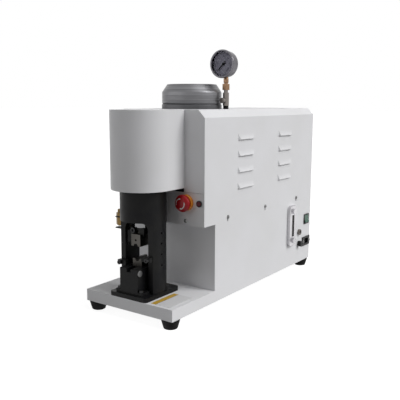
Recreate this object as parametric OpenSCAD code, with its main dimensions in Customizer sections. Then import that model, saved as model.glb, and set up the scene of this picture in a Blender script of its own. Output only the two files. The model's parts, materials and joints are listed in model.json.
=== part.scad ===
// Bench-top hydraulic terminal crimping machine, in millimetres.
// Z = 0 is the floor, +Z is up and the press column stands at the front, towards -Y.
// Places along Y are first written from the base plate's front edge, and those across from the
// machine's middle plane. in_frame() then moves everything to the middle of the whole outline.

/* [Base] */
// Width of the base plate, cabinet and housing
base_w = 260; // [230:1:300]
// Depth of the base plate, front to back
base_d = 690; // [670:1:760]
// Thickness of the base plate
base_h = 28; // [20:1:40]
// Upper diameter of a rubber foot
foot_top_d = 43.5; // [36:0.5:44]
// Lower diameter of a rubber foot
foot_bottom_d = 31.5; // [26:0.5:35]
// Height of a rubber foot
foot_h = 22; // [16:1:30]
// Distance of a foot's axis from the base plate's edges
foot_inset = 19.5; // [19:0.5:30]
// Thread diameter of a foot's screw
foot_screw_d = 8; // [6:1:10]
// Depth of the recess for the foot screw's head
foot_recess = 10; // [8:1:12]

/* [Lower cabinet] */
// Distance from the base plate's front edge to the cabinet's front
cabinet_front = 166; // [160:1:172]
// Height of the cabinet, from the base plate to the joint with the housing
cabinet_h = 162; // [150:1:180]
// Thickness of the cabinet's, housing's and panels' sheet metal
sheet = 2; // [1.5:0.1:3]
// Thickness of the deck plate that lids the cabinet and carries the motor
deck_t = 6; // [5:0.5:8]

/* [Upper housing] */
// Distance from the base plate's front edge to the housing's front
housing_front = 121; // [118:1:124]
// Height of the housing, from the joint to its top
housing_h = 267; // [260:1:285]
// Width of the chamfer along the housing's top edges
chamfer = 18; // [12:1:22]
// Height of the button panel, from the joint to the seam
button_panel_h = 78; // [74:1:84]
// Length of a louvre
louvre_len = 75; // [60:1:85]
// Height of a louvre
louvre_h = 14.5; // [12:0.5:16]
// How far a louvre stands out of the side
louvre_out = 4.5; // [3:0.5:6]
// Spacing of the louvres, one above another
louvre_pitch = 40; // [34:1:44]
// Louvres in a column
louvre_rows = 4; // [2:1:4]
// Spacing of the two louvre columns
louvre_spread = 209; // [190:1:220]
// Height of the lowest louvre's mouth above the joint
louvre_low = 74; // [60:1:90]
// Thread diameter of a cover screw
screw_d = 5; // [4:0.5:6]
// Head diameter of a cover screw
screw_head_d = 9.5; // [8:0.5:11]
// Head height of a cover screw
screw_head_h = 2.5; // [2:0.1:3.5]
// Length of a cover screw's shank
screw_len = 10; // [8:1:14]
// Height of the cover screws above the joint
cover_screw_h = 10; // [9:0.5:12]
// Distance of the outer cover screws from the housing's front and back
cover_screw_end = 100; // [60:1:120]
// Distance of a button panel screw from the middle plane
panel_screw_x = 77; // [60:1:100]

/* [Head cover] */
// Distance from the base plate's front edge to the press axis
press_y = 60; // [58:1:62]
// Outer radius of the half-round head cover
head_r = 74; // [70:1:78]
// Dark gap between the front panels' seam and the head cover's open bottom
head_gap = 9; // [4:0.5:14]
// Room between the cylinder's end cap and the head cover's top
head_room = 21; // [10:1:30]

/* [Press column] */
// Diameter of the press column
column_d = 108; // [104:1:112]
// Height of the column above its flange
column_h = 240; // [236:1:250]
// Distance of the milled flats from the column's axis
flat_offset = 25; // [23:0.5:28]
// Height of the milled flats above the flange
flat_h = 167; // [164:1:170]
// Corner radius at the top of the milled flats
flat_corner_r = 20; // [16:1:40]
// Width of the die window through the column
window_w = 69; // [64:1:72]
// Height of the die window above the flange
window_h = 162; // [159:1:164]
// Corner radius at the top of the die window
window_corner_r = 16; // [12:1:29]
// Width of the column's flange
flange_w = 110; // [108:1:116]
// Depth of the column's flange
flange_d = 125; // [120:1:130]
// Thickness of the column's flange
flange_t = 10; // [8:1:14]
// Corner radius of the column's flange
flange_corner_r = 8; // [5:1:14]
// Thread diameter of the bolts that hold the flange from below
flange_bolt_d = 10; // [8:1:12]
// Distance of the flange bolts from the flange's edges
flange_bolt_inset = 11; // [10:0.5:12]
// Diameter of the side holes for accessories
side_hole_d = 5; // [4:0.1:6]
// Spacing of the side holes
side_hole_pitch = 25; // [20:0.5:28]
// Number of side holes
side_hole_count = 4; // [2:1:4]
// Height of the lowest side hole above the flange
side_hole_low = 66; // [50:1:75]

/* [Ram and dies] */
// Travel of the ram
stroke = 30; // [20:0.5:30]
// Gap left between the dies at full stroke
die_gap = 0.5; // [0.3:0.1:2]
// Diameter of the chromed ram
ram_d = 44; // [38:1:48]
// Radial clearance of the ram and of the piston
slide_fit = 0.05; // [0.03:0.01:0.1]
// Bore of the hydraulic cylinder
bore_d = 80; // [70:1:84]
// Wall of the cylinder barrel
barrel_wall = 12; // [10:0.5:13]
// Thickness of the cylinder's end cap
end_cap_t = 26; // [22:1:28]
// Height of the piston
piston_h = 36; // [30:1:40]
// Width of the tool holder on the ram
holder_w = 40; // [36:1:46]
// Depth of the tool holder
holder_d = 44; // [38:1:46]
// Length of the ram that shows under the column's head at rest
ram_show = 12; // [8:1:14]
// Height of the tool holder
holder_h = 14; // [12:1:16]
// Width of both dies
die_w = 27; // [24:1:32]
// Depth of both dies
die_d = 44; // [38:1:46]
// Height of the upper die
upper_die_h = 28; // [24:1:30]
// Radius of the crimp nest in the dies
nest_r = 6; // [4:0.5:8]
// Width of the lower die block
block_w = 53; // [48:1:56]
// Height of the lower die block above the flange
block_h = 60; // [56:1:62]
// Distance from the block's front to the press axis
block_front = 54; // [50:1:56]
// Width of the block's foot
block_foot_w = 78; // [74:1:84]
// Thickness of the block's foot
block_foot_t = 8; // [6:1:10]
// Thread diameter of the socket-head screws of block and clips
socket_screw_d = 6; // [5:0.5:6.5]
// Length of the socket-head screws under the head
socket_screw_len = 17; // [14:1:17.5]

/* [Limit sensor] */
// Length of the sensing arm outside the tool holder
arm_len = 56; // [54:1:58]
// Width of the sensing arm
arm_w = 14; // [10:1:16]
// Thickness of the sensing arm
arm_t = 3; // [2:0.5:4]
// Thread diameter of the sensor
sensor_d = 12; // [10:1:12.5]
// Length of the sensor, hexagon body and barrel together
sensor_h = 39; // [34:1:44]
// Height of the sensor's hexagon body
sensor_hex_h = 18; // [14:1:20]
// Gap from the arm to the sensor's face at rest
sensor_gap = 4; // [2:0.5:5]
// Width across flats of the sensor's body and nut
sensor_af = 17; // [15:0.5:17.5]
// Distance of the arm and sensor in front of the press axis
arm_forward = 7; // [4:0.5:9]

/* [Round cap and motor] */
// Distance from the press axis to the motor's axis
motor_back = 191; // [186:1:196]
// Diameter of the round cap's lower ring
cap_d = 150; // [144:1:156]
// Height of the round cap with its ring
cap_h = 60; // [54:1:66]
// Height of the cap's lower ring
cap_ring_h = 13; // [10:1:16]
// Diameter of the cap's flat top
cap_top_d = 122; // [110:1:128]
// Height of the cap's bevel
cap_bevel_h = 20; // [14:1:24]
// Outer diameter of the motor's body
motor_d = 140; // [134:1:142]
// Diameter of the motor's shaft
shaft_d = 20; // [18:1:24]
// Diameter of the rotor's core
rotor_d = 70; // [60:1:76]
// Air gap between rotor and stator
air_gap = 0.8; // [0.5:0.1:1.5]
// Outer diameter of the pump in the tank
pump_d = 90; // [80:1:100]
// Height of the pump under the deck
pump_h = 96; // [80:1:110]
// Room in front of the oil tank
tank_gap = 28; // [20:1:32]
// Room behind the oil tank for the switch and sockets
tank_rear = 102; // [98:1:108]
// Wall of the oil tank
tank_wall = 3; // [2:0.5:4]
// Outer diameter of the pressure pipe
pipe_d = 10; // [8:0.5:12]

/* [Pressure gauge] */
// Distance of the gauge's stem from the middle plane
gauge_x = 84; // [82:1:88]
// Distance of the gauge's stem from the press axis
gauge_back = 218; // [214:1:222]
// Diameter of the gauge's bezel
bezel_d = 68; // [62:1:70]
// Diameter of the gauge's case
gauge_case_d = 63; // [58:1:64]
// Depth of the gauge's case and bezel
gauge_t = 28; // [26:1:30]
// Depth of the bezel ring
bezel_t = 7; // [6:0.5:9]
// Height of the gauge's centre above the housing's top
gauge_h = 108; // [106:1:116]
// Angle that the pointer sweeps from zero to full scale, in degrees
gauge_sweep = 270; // [240:5:300]
// Diameter of the shut-off valve's body
valve_d = 15; // [13:0.5:16]
// Height of the shut-off valve's body
valve_h = 32; // [30:1:34]
// Diameter of the shut-off valve's knob
knob_d = 13; // [11:0.5:14]
// Length of the shut-off valve's knob
knob_len = 10; // [8:0.5:11]
// Width across flats of the gauge's union nut
union_af = 17; // [15:0.5:18]

/* [Emergency stop and push button] */
// Distance of the emergency stop's axis from the housing's side
estop_side = 50; // [46:1:54]
// Height of the emergency stop and the push button above the joint
button_z = 54; // [50:1:56]
// Diameter of the mushroom head
mushroom_d = 40; // [34:1:42]
// Distance from the panel to the front of the mushroom head
mushroom_out = 28; // [24:1:32]
// Travel of the emergency stop
estop_travel = 4; // [3:0.5:5]
// Diameter of the emergency stop's collar
collar_d = 38; // [34:1:39]
// Diameter of the plunger under the mushroom head
plunger_d = 16; // [12:1:17]
// Distance of the push button's axis from the housing's side
button_side = 14; // [12:0.5:15]
// Diameter of the push button's bezel
button_bezel_d = 15.5; // [14:0.5:17]
// Diameter of the push button's cap
button_cap_d = 11; // [9:0.5:12]
// Travel of the push button
button_travel = 2.5; // [2:0.5:3]

/* [Side connections] */
// Distance from the base plate's back edge to the rocker switch's middle
rocker_back = 28; // [26:1:34]
// Height of the rocker switch's middle above the base plate
rocker_z = 98; // [90:1:104]
// Width of the rocker switch's frame
rocker_w = 31; // [26:1:34]
// Height of the rocker switch's frame
rocker_frame_h = 30; // [26:1:32]
// Tilt of the rocker between its two positions, in degrees
rocker_tilt = 20; // [12:1:24]
// Distance from the base plate's back edge to the inlet's middle
inlet_back = 28; // [27:1:34]
// Height of the inlet's middle above the base plate
inlet_z = 30; // [26:1:36]
// Width of the inlet's flange
inlet_w = 48; // [46:1:50]
// Height of the inlet's flange
inlet_h = 27; // [25:1:30]
// Width of the inlet's socket opening
socket_w = 24; // [20:1:26]
// Height of the inlet's socket opening
socket_h = 16; // [14:1:18]
// Distance from the base plate's back edge to the fuse and pedal socket
fuse_back = 76; // [72:1:82]
// Diameter of the fuse holder's cap
fuse_d = 16; // [14:1:18]
// How far the fuse holder's cap stands out
fuse_out = 12; // [8:1:13]
// Height of the pedal socket's middle above the base plate
pedal_z = 65; // [58:1:70]
// Diameter of the pedal socket's nut
pedal_d = 17; // [15:1:19]

/* [Oil level gauge] */
// Distance from the base plate's back edge to the level gauge's middle
level_back = 131; // [126:1:140]
// Height of the level gauge's middle above the base plate
level_z = 94; // [84:1:98]
// Width of the level gauge's frame
level_w = 40; // [34:1:44]
// Height of the level gauge's frame
level_h = 118; // [110:1:124]
// Thickness of the level gauge's frame
level_t = 9; // [8.5:0.5:11]
// Spacing of the level gauge's bolts
level_pitch = 85; // [76:1:90]
// Diameter of the level gauge's clear tube
level_tube_d = 8; // [6:0.5:8]

/* [Label plate] */
// Width of the bare label plate on the base
label_w = 56; // [40:1:60]
// Length of the bare label plate
label_len = 84; // [70:1:90]
// Thickness of the bare label plate
label_t = 0.8; // [0.5:0.1:1.5]

/* [Hidden] */
$fn = 64;

// Overrun of every cut past the face it opens
cut = 1;
// Radial play of a screw in a clearance hole, and of a thread in its tapped hole
hole_gap = 0.3;
thread_gap = 0.05;
// Gap between different moving pieces that only pass each other
pass_gap = 0.3;
// Visible gap at the seam of the two front panels
seam_gap = 0.6;

// Heights of the main levels above the floor
base_top = foot_h + base_h;
joint_z = base_top + cabinet_h;
top_z = joint_z + housing_h;
seam_z = joint_z + button_panel_h;
head_bottom = seam_z + head_gap;
head_cover_h = top_z - head_bottom;
half_w = base_w / 2;
inner_w = half_w - sheet;
estop_x = half_w - estop_side;
button_x = half_w - button_side;

// Levels of the press, from its flange up
flange_top = base_top + flange_t;
flat_top = flange_top + flat_h;
window_top = flange_top + window_h;
column_top = flange_top + column_h;
barrel_d = bore_d + 2 * barrel_wall;
barrel_h = top_z - sheet - head_room - end_cap_t - column_top;
barrel_top = column_top + barrel_h;
holder_top = window_top - ram_show;
holder_bottom = holder_top - holder_h;
upper_die_bottom = holder_bottom - upper_die_h;
lower_die_top = upper_die_bottom - stroke - die_gap;
block_top = flange_top + block_h;
column_r = column_d / 2;

// Places along the depth
motor_y = press_y + motor_back;
gauge_y = press_y + gauge_back;
fuse_y = base_d - fuse_back;
flat_y = press_y - flat_offset;

// The whole outline, which the frame is centred on
level_head_h = 5.5;
frame_x = (louvre_out - level_t - level_head_h) / 2;
frame_y = (head_r - press_y - base_d - screw_head_h) / 2;

module in_frame() { translate([frame_x, frame_y, 0]) children(); }

// Box between two corners
module block(x, y, z) {
  translate([x[0], y[0], z[0]]) cube([x[1] - x[0], y[1] - y[0], z[1] - z[0]]);
}

// Turns a shape made along +Z so that it points to the front (-Y) or to the right (+X)
module to_front() { rotate([90, 0, 0]) children(); }
module to_right() { rotate([90, 0, 90]) children(); }
module rod(d, h) { cylinder(d = d, h = h); }
module ring(outer, inner, h) {
  difference() {
    rod(outer, h);
    translate([0, 0, -cut]) rod(inner, h + 2 * cut);
  }
}

// Hexagon prism by its width across flats
module hexagon(af, h) {
  linear_extrude(height = h) circle(d = af / cos(30), $fn = 6);
}

module rounded_rect(w, d, r) {
  square([w - 2 * r, d], center = true);
  square([w, d - 2 * r], center = true);
  for (sx = [-1, 1], sy = [-1, 1])
    translate([sx * (w / 2 - r), sy * (d / 2 - r)]) circle(r = r);
}

// Opening with two round upper corners, from y = 0 up to y = h
module arch(w, h, r) {
  translate([-w / 2, 0]) square([w, h - r]);
  translate([r - w / 2, 0]) square([w - 2 * r, h]);
  for (side = [-1, 1]) translate([side * (w / 2 - r), h - r]) circle(r = r);
}

// Pan-head screw with its head on z = 0 and its shank downwards
module pan_screw() {
  rod(screw_head_d, screw_head_h);
  translate([0, 0, -screw_len]) rod(screw_d, screw_len);
}

// Socket-head screw, the same way up
socket_head_share = 5 / 3;
socket_head_d = socket_screw_d * socket_head_share;
socket_key_share = 0.5;
module socket_screw() {
  difference() {
    rod(socket_head_d, socket_screw_d);
    translate([0, 0, socket_screw_d * (1 - socket_key_share)])
      hexagon(socket_screw_d * socket_key_share, socket_screw_d);
  }
  translate([0, 0, -socket_screw_len]) rod(socket_screw_d, socket_screw_len);
}

// Places of the fasteners
module at_feet() {
  for (x = [foot_inset - half_w, half_w - foot_inset], y = [foot_inset, base_d - foot_inset])
    translate([x, y, 0]) children();
}
flange_bolt_x = flange_w / 2 - flange_bolt_inset;
module at_flange_bolts() {
  for (x = [-flange_bolt_x, flange_bolt_x], y = [flange_bolt_inset, flange_d - flange_bolt_inset])
    translate([x, y, 0]) children();
}

// Base plate, with tapped holes for the feet and counterbored ones for the column's bolts
foot_thread_depth = 18;
bolt_head_share = 1.6;
bolt_head_d = flange_bolt_d * bolt_head_share;
module base_plate() {
  in_frame() color("white") difference() {
    block([-half_w, half_w], [0, base_d], [foot_h, base_top]);
    at_feet() translate([0, 0, foot_h - cut])
      rod(foot_screw_d + 2 * thread_gap, foot_thread_depth + cut);
    at_flange_bolts() {
      translate([0, 0, foot_h - cut]) rod(flange_bolt_d + 2 * hole_gap, base_h + 2 * cut);
      translate([0, 0, foot_h - cut]) rod(bolt_head_d + 2 * hole_gap, flange_bolt_d + 2 * cut);
    }
  }
}

foot_head_share = 1.75;
foot_head_d = foot_screw_d * foot_head_share;
foot_head_h = 5;
module rubber_feet() {
  in_frame() color("black") at_feet() difference() {
    cylinder(d1 = foot_bottom_d, d2 = foot_top_d, h = foot_h);
    translate([0, 0, -cut]) rod(foot_screw_d + 2 * hole_gap, foot_h + 2 * cut);
    translate([0, 0, -cut]) rod(foot_head_d + 2 * cut, foot_recess + cut);
  }
}

foot_screw_bite = foot_thread_depth - cut;
module foot_screws() {
  in_frame() color("silver") at_feet() {
    translate([0, 0, foot_recess - foot_head_h]) rod(foot_head_d, foot_head_h);
    translate([0, 0, foot_recess]) rod(foot_screw_d, foot_h - foot_recess + foot_screw_bite);
  }
}

// Lower cabinet: front and side sheets in one wrap, with the right side's cut-outs
switch_rim = 3;
switch_wall = 1;
rocker_r = rocker_frame_h / 2 - switch_rim;
rocker_body_w = rocker_w - 2 * switch_rim;
switch_body_w = rocker_body_w + 2 * (pass_gap + switch_wall);
switch_body_h = 2 * (rocker_r + pass_gap + switch_wall);
inlet_wall = 2;
inlet_body_w = socket_w + 2 * inlet_wall;
inlet_body_h = socket_h + 2 * inlet_wall;
fuse_barrel_share = 0.75;
fuse_barrel_d = fuse_d * fuse_barrel_share;
pedal_barrel_share = 0.8;
pedal_barrel_d = pedal_d * pedal_barrel_share;
level_bolt_d = 8;
level_y = base_d - level_back;
level_mid = base_top + level_z;
module at_right(y, z) { translate([half_w, y, z]) to_right() children(); }
module at_switch() { at_right(base_d - rocker_back, base_top + rocker_z) children(); }
module at_inlet() { at_right(base_d - inlet_back, base_top + inlet_z) children(); }
module at_fuse() { at_right(fuse_y, base_top + inlet_z) children(); }
module at_pedal() { at_right(fuse_y, base_top + pedal_z) children(); }
module at_level() { at_right(level_y, level_mid) children(); }
inlet_screw_share = 0.4;
inlet_flange_t = 3;
module at_inlet_screws() {
  for (side = [-1, 1])
    at_inlet() translate([side * inlet_w * inlet_screw_share, 0, inlet_flange_t]) children();
}
module at_level_bolts() {
  for (side = [-1, 1]) at_level() translate([0, side * level_pitch / 2, 0]) children();
}
module window_cut(w, h, depth) {
  translate([0, 0, -depth]) linear_extrude(height = depth + cut)
    square([w + 2 * hole_gap, h + 2 * hole_gap], center = true);
}
module hole_cut(d, depth) { translate([0, 0, -depth]) rod(d + 2 * hole_gap, depth + cut); }

// Lips inside the sheet's back edge that take the rear panel's screws
rear_lip_w = 28;
rear_screw_inset = 20;
module rear_lips(low, high) {
  for (side = [0, 1]) mirror([side, 0, 0])
    block([inner_w - rear_lip_w, inner_w], [base_d - 2 * sheet, base_d - sheet], [low, high]);
}
module at_rear_screws() {
  for (x = [rear_screw_inset - half_w, half_w - rear_screw_inset],
       z = [base_top + rear_screw_inset, top_z - chamfer - rear_screw_inset])
    translate([x, base_d, z]) rotate([-90, 0, 0]) children();
}

module lower_cabinet() {
  in_frame() color("white") difference() {
    block([-half_w, half_w], [cabinet_front, base_d], [base_top, joint_z]);
    block([-inner_w, inner_w], [cabinet_front + sheet, base_d + cut],
      [base_top - cut, joint_z + cut]);
    at_switch() window_cut(switch_body_w, switch_body_h, sheet + cut);
    at_inlet() window_cut(inlet_body_w, inlet_body_h, sheet + cut);
    at_fuse() hole_cut(fuse_barrel_d, sheet + cut);
    at_pedal() hole_cut(pedal_barrel_d, sheet + cut);
    at_level_bolts() hole_cut(level_bolt_d, sheet + cut);
    at_inlet_screws() hole_cut(screw_d, inlet_flange_t + sheet + cut);
  }
  in_frame() color("white") difference() {
    rear_lips(base_top, deck_bottom);
    at_rear_screws() hole_cut(screw_d, 2 * sheet + cut);
  }
}

// Deck plate with upturned sides that take the cover screws
deck_lip_t = 3;
deck_lip_h = cover_screw_h * 2;
deck_hole_d = 2 * shaft_d;
panel_tab_w = 20;
panel_floor_d = 8;
panel_floor_y = cabinet_front + panel_floor_d;
deck_bottom = joint_z - deck_t;
cover_mid_y = (housing_front + base_d) / 2;
cover_screw_spread = cover_mid_y - housing_front - cover_screw_end;
module at_cover_screws() {
  for (side = [-1, 1], step = [-1, 0, 1])
    translate([side * half_w, cover_mid_y + step * cover_screw_spread, joint_z + cover_screw_h])
      rotate([90, 0, side * 90]) children();
}
module deck_plate() {
  in_frame() color("lightgray") difference() {
    union() {
      block([-inner_w, inner_w], [cabinet_front + sheet, base_d - sheet], [deck_bottom, joint_z]);
      for (side = [0, 1]) mirror([side, 0, 0])
        block([inner_w - deck_lip_t, inner_w], [cabinet_front + sheet, base_d - sheet],
          [deck_bottom, joint_z + deck_lip_h]);
      for (side = [-1, 1]) translate([side * panel_screw_x, 0, joint_z]) {
        block([-panel_tab_w / 2, panel_tab_w / 2], [panel_floor_y, panel_floor_y + panel_tab_w],
          [0, sheet + deck_lip_t]);
        block([-panel_tab_w / 2, panel_tab_w / 2], [housing_front + sheet, panel_floor_y],
          [sheet, sheet + deck_lip_t]);
        block([-panel_tab_w / 2, panel_tab_w / 2],
          [housing_front + sheet, housing_front + sheet + deck_lip_t], [sheet, deck_lip_h]);
      }
    }
    translate([0, motor_y, deck_bottom - cut]) rod(deck_hole_d, deck_t + 2 * cut);
    at_cover_screws() translate([0, 0, -screw_len]) rod(screw_d + 2 * thread_gap, screw_len);
    at_panel_screws() translate([0, 0, -screw_len]) rod(screw_d + 2 * thread_gap, screw_len);
  }
}

// Outline of the housing across its width, and the same inside its sheet
chamfer_turn = sheet * (sqrt(2) - 1);
module housing_outline(w, low, high, c) {
  polygon([[-w, low], [-w, high - c], [c - w, high], [w - c, high], [w, high - c], [w, low]]);
}
inner_chamfer = chamfer - sheet + chamfer_turn;
module inner_outline(low) {
  housing_outline(inner_w, low, top_z - sheet, inner_chamfer);
}

module rear_panel() {
  in_frame() color("white") difference() {
    translate([0, base_d, 0]) to_front() linear_extrude(height = sheet) inner_outline(base_top);
    at_rear_screws() hole_cut(screw_d, sheet + cut);
  }
}

// One louvre hood: a wedge that opens downwards, with sloping ends, pressed out of the sheet
louvre_metal = 1.2;
louvre_slope_share = 0.85;
louvre_root = sheet / 2;
module hood(len, out, h) {
  intersection() {
    translate([0, len / 2, 0]) to_front() linear_extrude(height = len)
      polygon([[-louvre_root, 0], [out, 0], [out, h * (1 - louvre_slope_share)], [0, h],
        [-louvre_root, h]]);
    linear_extrude(height = h)
      polygon([[-louvre_root, -len / 2], [0, -len / 2], [out, out - len / 2],
        [out, len / 2 - out], [0, len / 2], [-louvre_root, len / 2]]);
  }
}
module at_louvres() {
  for (side = [0, 1], column = [-1, 1], row = [0:louvre_rows - 1])
    mirror([side, 0, 0]) translate([half_w, cover_mid_y + column * louvre_spread / 2,
      joint_z + louvre_low + row * louvre_pitch]) children();
}
motor_wall = 6;
motor_hole_d = motor_d - 2 * motor_wall;
gauge_tail_d = 8;
module housing_cover() {
  in_frame() color("white") {
    difference() {
      translate([0, base_d, 0]) to_front() linear_extrude(height = base_d - housing_front)
        difference() {
          housing_outline(half_w, joint_z, top_z, chamfer);
          inner_outline(joint_z - cut);
        }
      translate([0, motor_y, top_z - sheet - cut]) rod(motor_hole_d, sheet + 2 * cut);
      translate([gauge_x, gauge_y, top_z - sheet - cut])
        rod(gauge_tail_d + 2 * hole_gap, sheet + 2 * cut);
      at_cover_screws() {
        hole_cut(screw_d, sheet + cut);
        translate([-screw_d / 2 - hole_gap, -cover_screw_h - cut, -sheet - cut])
          cube([screw_d + 2 * hole_gap, cover_screw_h + cut, sheet + 2 * cut]);
      }
      at_louvres() translate([-sheet - cut, louvre_out - louvre_len / 2, louvre_metal])
        cube([sheet + 2 * cut, louvre_len - 2 * louvre_out, louvre_h / 2]);
    }
    difference() {
      rear_lips(joint_z + deck_lip_h, top_z - chamfer);
      at_rear_screws() hole_cut(screw_d, 2 * sheet + cut);
    }
    at_louvres() difference() {
      hood(louvre_len, louvre_out, louvre_h);
      translate([-cut / 2, 0, -louvre_metal])
        hood(louvre_len - 2 * louvre_metal, louvre_out - louvre_metal + cut / 2, louvre_h);
    }
  }
}

// Pan-head screws of the cover, the button panel and the rear panel
module at_panel_screws() {
  for (side = [-1, 1])
    translate([side * panel_screw_x, housing_front, joint_z + cover_screw_h])
      to_front() children();
}
module cover_screws() {
  in_frame() color("silver") {
    at_cover_screws() pan_screw();
    at_panel_screws() pan_screw();
    at_rear_screws() pan_screw();
    at_inlet_screws() pan_screw();
  }
}

// Front panels, set inside the cover's edge
head_opening_w = 2 * (head_r - sheet);
front_strip = 12;
module front_panel() {
  in_frame() color("gainsboro")
    translate([0, housing_front + sheet, 0]) to_front() linear_extrude(height = sheet)
      difference() {
        inner_outline(seam_z);
        translate([-head_opening_w / 2, seam_z - cut])
          square([head_opening_w, top_z - sheet - front_strip - seam_z + cut]);
      }
}

estop_hole_d = 22;
button_wall = 1;
button_barrel_d = button_cap_d + 2 * button_wall;
module at_estop() { translate([estop_x, housing_front, joint_z + button_z]) to_front() children(); }
module at_button() { translate([button_x, housing_front, joint_z + button_z]) to_front() children(); }
module button_panel() {
  in_frame() color("gainsboro") {
    difference() {
      block([-inner_w, inner_w], [housing_front, housing_front + sheet],
        [joint_z, seam_z - seam_gap]);
      at_estop() hole_cut(estop_hole_d, sheet + cut);
      at_button() hole_cut(button_barrel_d, sheet + cut);
      at_panel_screws() hole_cut(screw_d, sheet + cut);
    }
    block([deck_lip_t + hole_gap - inner_w, inner_w - deck_lip_t - hole_gap],
      [housing_front + sheet, panel_floor_y], [joint_z, joint_z + sheet]);
  }
}

// Half-round head cover, open below
module head_outline(r) {
  intersection() {
    translate([0, press_y]) circle(r = r);
    translate([-r, press_y - r]) square([2 * r, r]);
  }
  translate([-r, press_y]) square([2 * r, housing_front - press_y]);
}
module head_cover() {
  in_frame() color("white") difference() {
    translate([0, 0, head_bottom]) linear_extrude(height = head_cover_h) head_outline(head_r);
    translate([0, 0, head_bottom - cut]) linear_extrude(height = head_cover_h - sheet + cut)
      union() {
        head_outline(head_r - sheet);
        translate([sheet - head_r, housing_front - cut]) square([2 * (head_r - sheet), 2 * cut]);
      }
  }
}

// Press column: flange, two legs beside the window, and the head that guides the ram
flange_thread_depth = flange_t - cut;
slot_play = 2;
slot_over = 5;
seat_depth = arm_t;
arm_bottom = holder_bottom + arm_t;
arm_top = arm_bottom + arm_t;
arm_y = press_y - arm_forward;
sensor_face_h = 2;
shelf_bottom = arm_top + sensor_gap + sensor_face_h + sensor_hex_h;
bracket_h = 24;
side_hole_depth = 12;
clip_w = 25;
clip_d = 11;
clip_h = 10;
right_clip_reach = 12.5;
left_clip_reach = 9.5;
clip_raise = 82;
clip_z = flange_top + clip_raise;
left_clip_drop = 16;
flat_half_w = sqrt(column_r * column_r - flat_offset * flat_offset);
clip_screw_x = (window_w / 2 + flat_half_w) / 2;
clip_screw_bite = socket_screw_len - clip_d;
bracket_screw_back = 8;
bracket_screw_y = press_y + bracket_screw_back;
bracket_screw_z = shelf_bottom + bracket_h - socket_screw_d;
block_bolt_x = (block_w + block_foot_w) / 4;
module at_clip_screws() {
  translate([clip_screw_x, flat_y - clip_d, clip_z]) to_front() children();
  translate([-clip_screw_x, flat_y - clip_d, clip_z - left_clip_drop]) to_front() children();
}
module at_block_bolts() {
  for (side = [-1, 1])
    translate([side * block_bolt_x, press_y - block_front + socket_screw_d,
      flange_top + block_foot_t]) children();
}
module at_bracket_screw() {
  translate([-column_r, bracket_screw_y, bracket_screw_z]) rotate([0, -90, 0]) children();
}
module column() {
  in_frame() color([0.1, 0.1, 0.1]) {
    difference() {
      translate([0, flange_d / 2, base_top]) linear_extrude(height = flange_t)
        rounded_rect(flange_w, flange_d, flange_corner_r);
      at_flange_bolts() translate([0, 0, base_top - cut])
        rod(flange_bolt_d + 2 * thread_gap, flange_thread_depth + cut);
      at_block_bolts() translate([0, 0, -socket_screw_len - cut])
        rod(socket_screw_d + 2 * thread_gap, socket_screw_len + cut);
    }
    difference() {
      translate([0, press_y, flange_top]) rod(column_d, column_h);
      for (side = [0, 1]) translate([0, press_y, flange_top]) mirror([0, side, 0])
        translate([0, -flat_offset, 0]) to_front()
          linear_extrude(height = column_r) arch(column_d, flat_h, flat_corner_r);
      translate([0, press_y + column_r, flange_top]) to_front()
        linear_extrude(height = column_d) arch(window_w, window_h, window_corner_r);
      translate([0, press_y, window_top - window_corner_r])
        rod(ram_d + 2 * slide_fit, column_h);
      for (i = [0:side_hole_count - 1])
        translate([column_r - side_hole_depth, press_y,
          flange_top + side_hole_low + i * side_hole_pitch])
          rotate([0, 90, 0]) rod(side_hole_d, side_hole_depth + cut);
      block([-column_r - cut, 0], [arm_y - arm_w / 2 - slot_play, arm_y + arm_w / 2 + slot_play],
        [arm_bottom - stroke - slot_over, arm_top + slot_over]);
      block([-column_r - cut, seat_depth - column_r], [press_y - column_r, press_y + column_r],
        [shelf_bottom, shelf_bottom + bracket_h]);
      at_bracket_screw() translate([0, 0, -socket_screw_len])
        rod(socket_screw_d + 2 * thread_gap, socket_screw_len);
      at_clip_screws() translate([0, 0, -socket_screw_len])
        rod(socket_screw_d + 2 * thread_gap, socket_screw_len);
    }
  }
}

module flange_bolts() {
  in_frame() color("silver") at_flange_bolts() {
    translate([0, 0, foot_h + cut]) rod(bolt_head_d, flange_bolt_d);
    translate([0, 0, foot_h + cut + flange_bolt_d])
      rod(flange_bolt_d, base_h - 2 * cut - flange_bolt_d + flange_thread_depth);
  }
}

// Hydraulic cylinder on the column
port_raise = 15;
port_z_low = column_top + port_raise;
port_z_high = barrel_top + end_cap_t / 2;
port_depth = 12;
module at_press(z) { translate([0, press_y, z]) children(); }
module cylinder_barrel() {
  in_frame() color("silver") difference() {
    at_press(column_top) ring(barrel_d, bore_d, barrel_h);
    translate([0, press_y + barrel_d / 2 + cut, port_z_low]) to_front()
      rod(pipe_d + 2 * thread_gap, barrel_d / 2);
  }
}
module cylinder_end_cap() {
  in_frame() color("silver") difference() {
    at_press(barrel_top) rod(barrel_d, end_cap_t);
    translate([0, press_y + barrel_d / 2 + cut, port_z_high]) to_front()
      rod(pipe_d + 2 * thread_gap, barrel_d / 2 + cut);
    at_press(barrel_top - cut) rod(pipe_d, end_cap_t / 2 + cut);
  }
}

// Moving group: piston, ram, tool holder, upper die and arm
piston_top = barrel_top - piston_h / 3;
module piston() {
  in_frame() color("silver") at_press(piston_top - piston_h)
    rod(bore_d - 2 * slide_fit, piston_h);
}
module ram() {
  in_frame() color("gainsboro") at_press(holder_top)
    rod(ram_d, piston_top - piston_h - holder_top);
}

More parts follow.
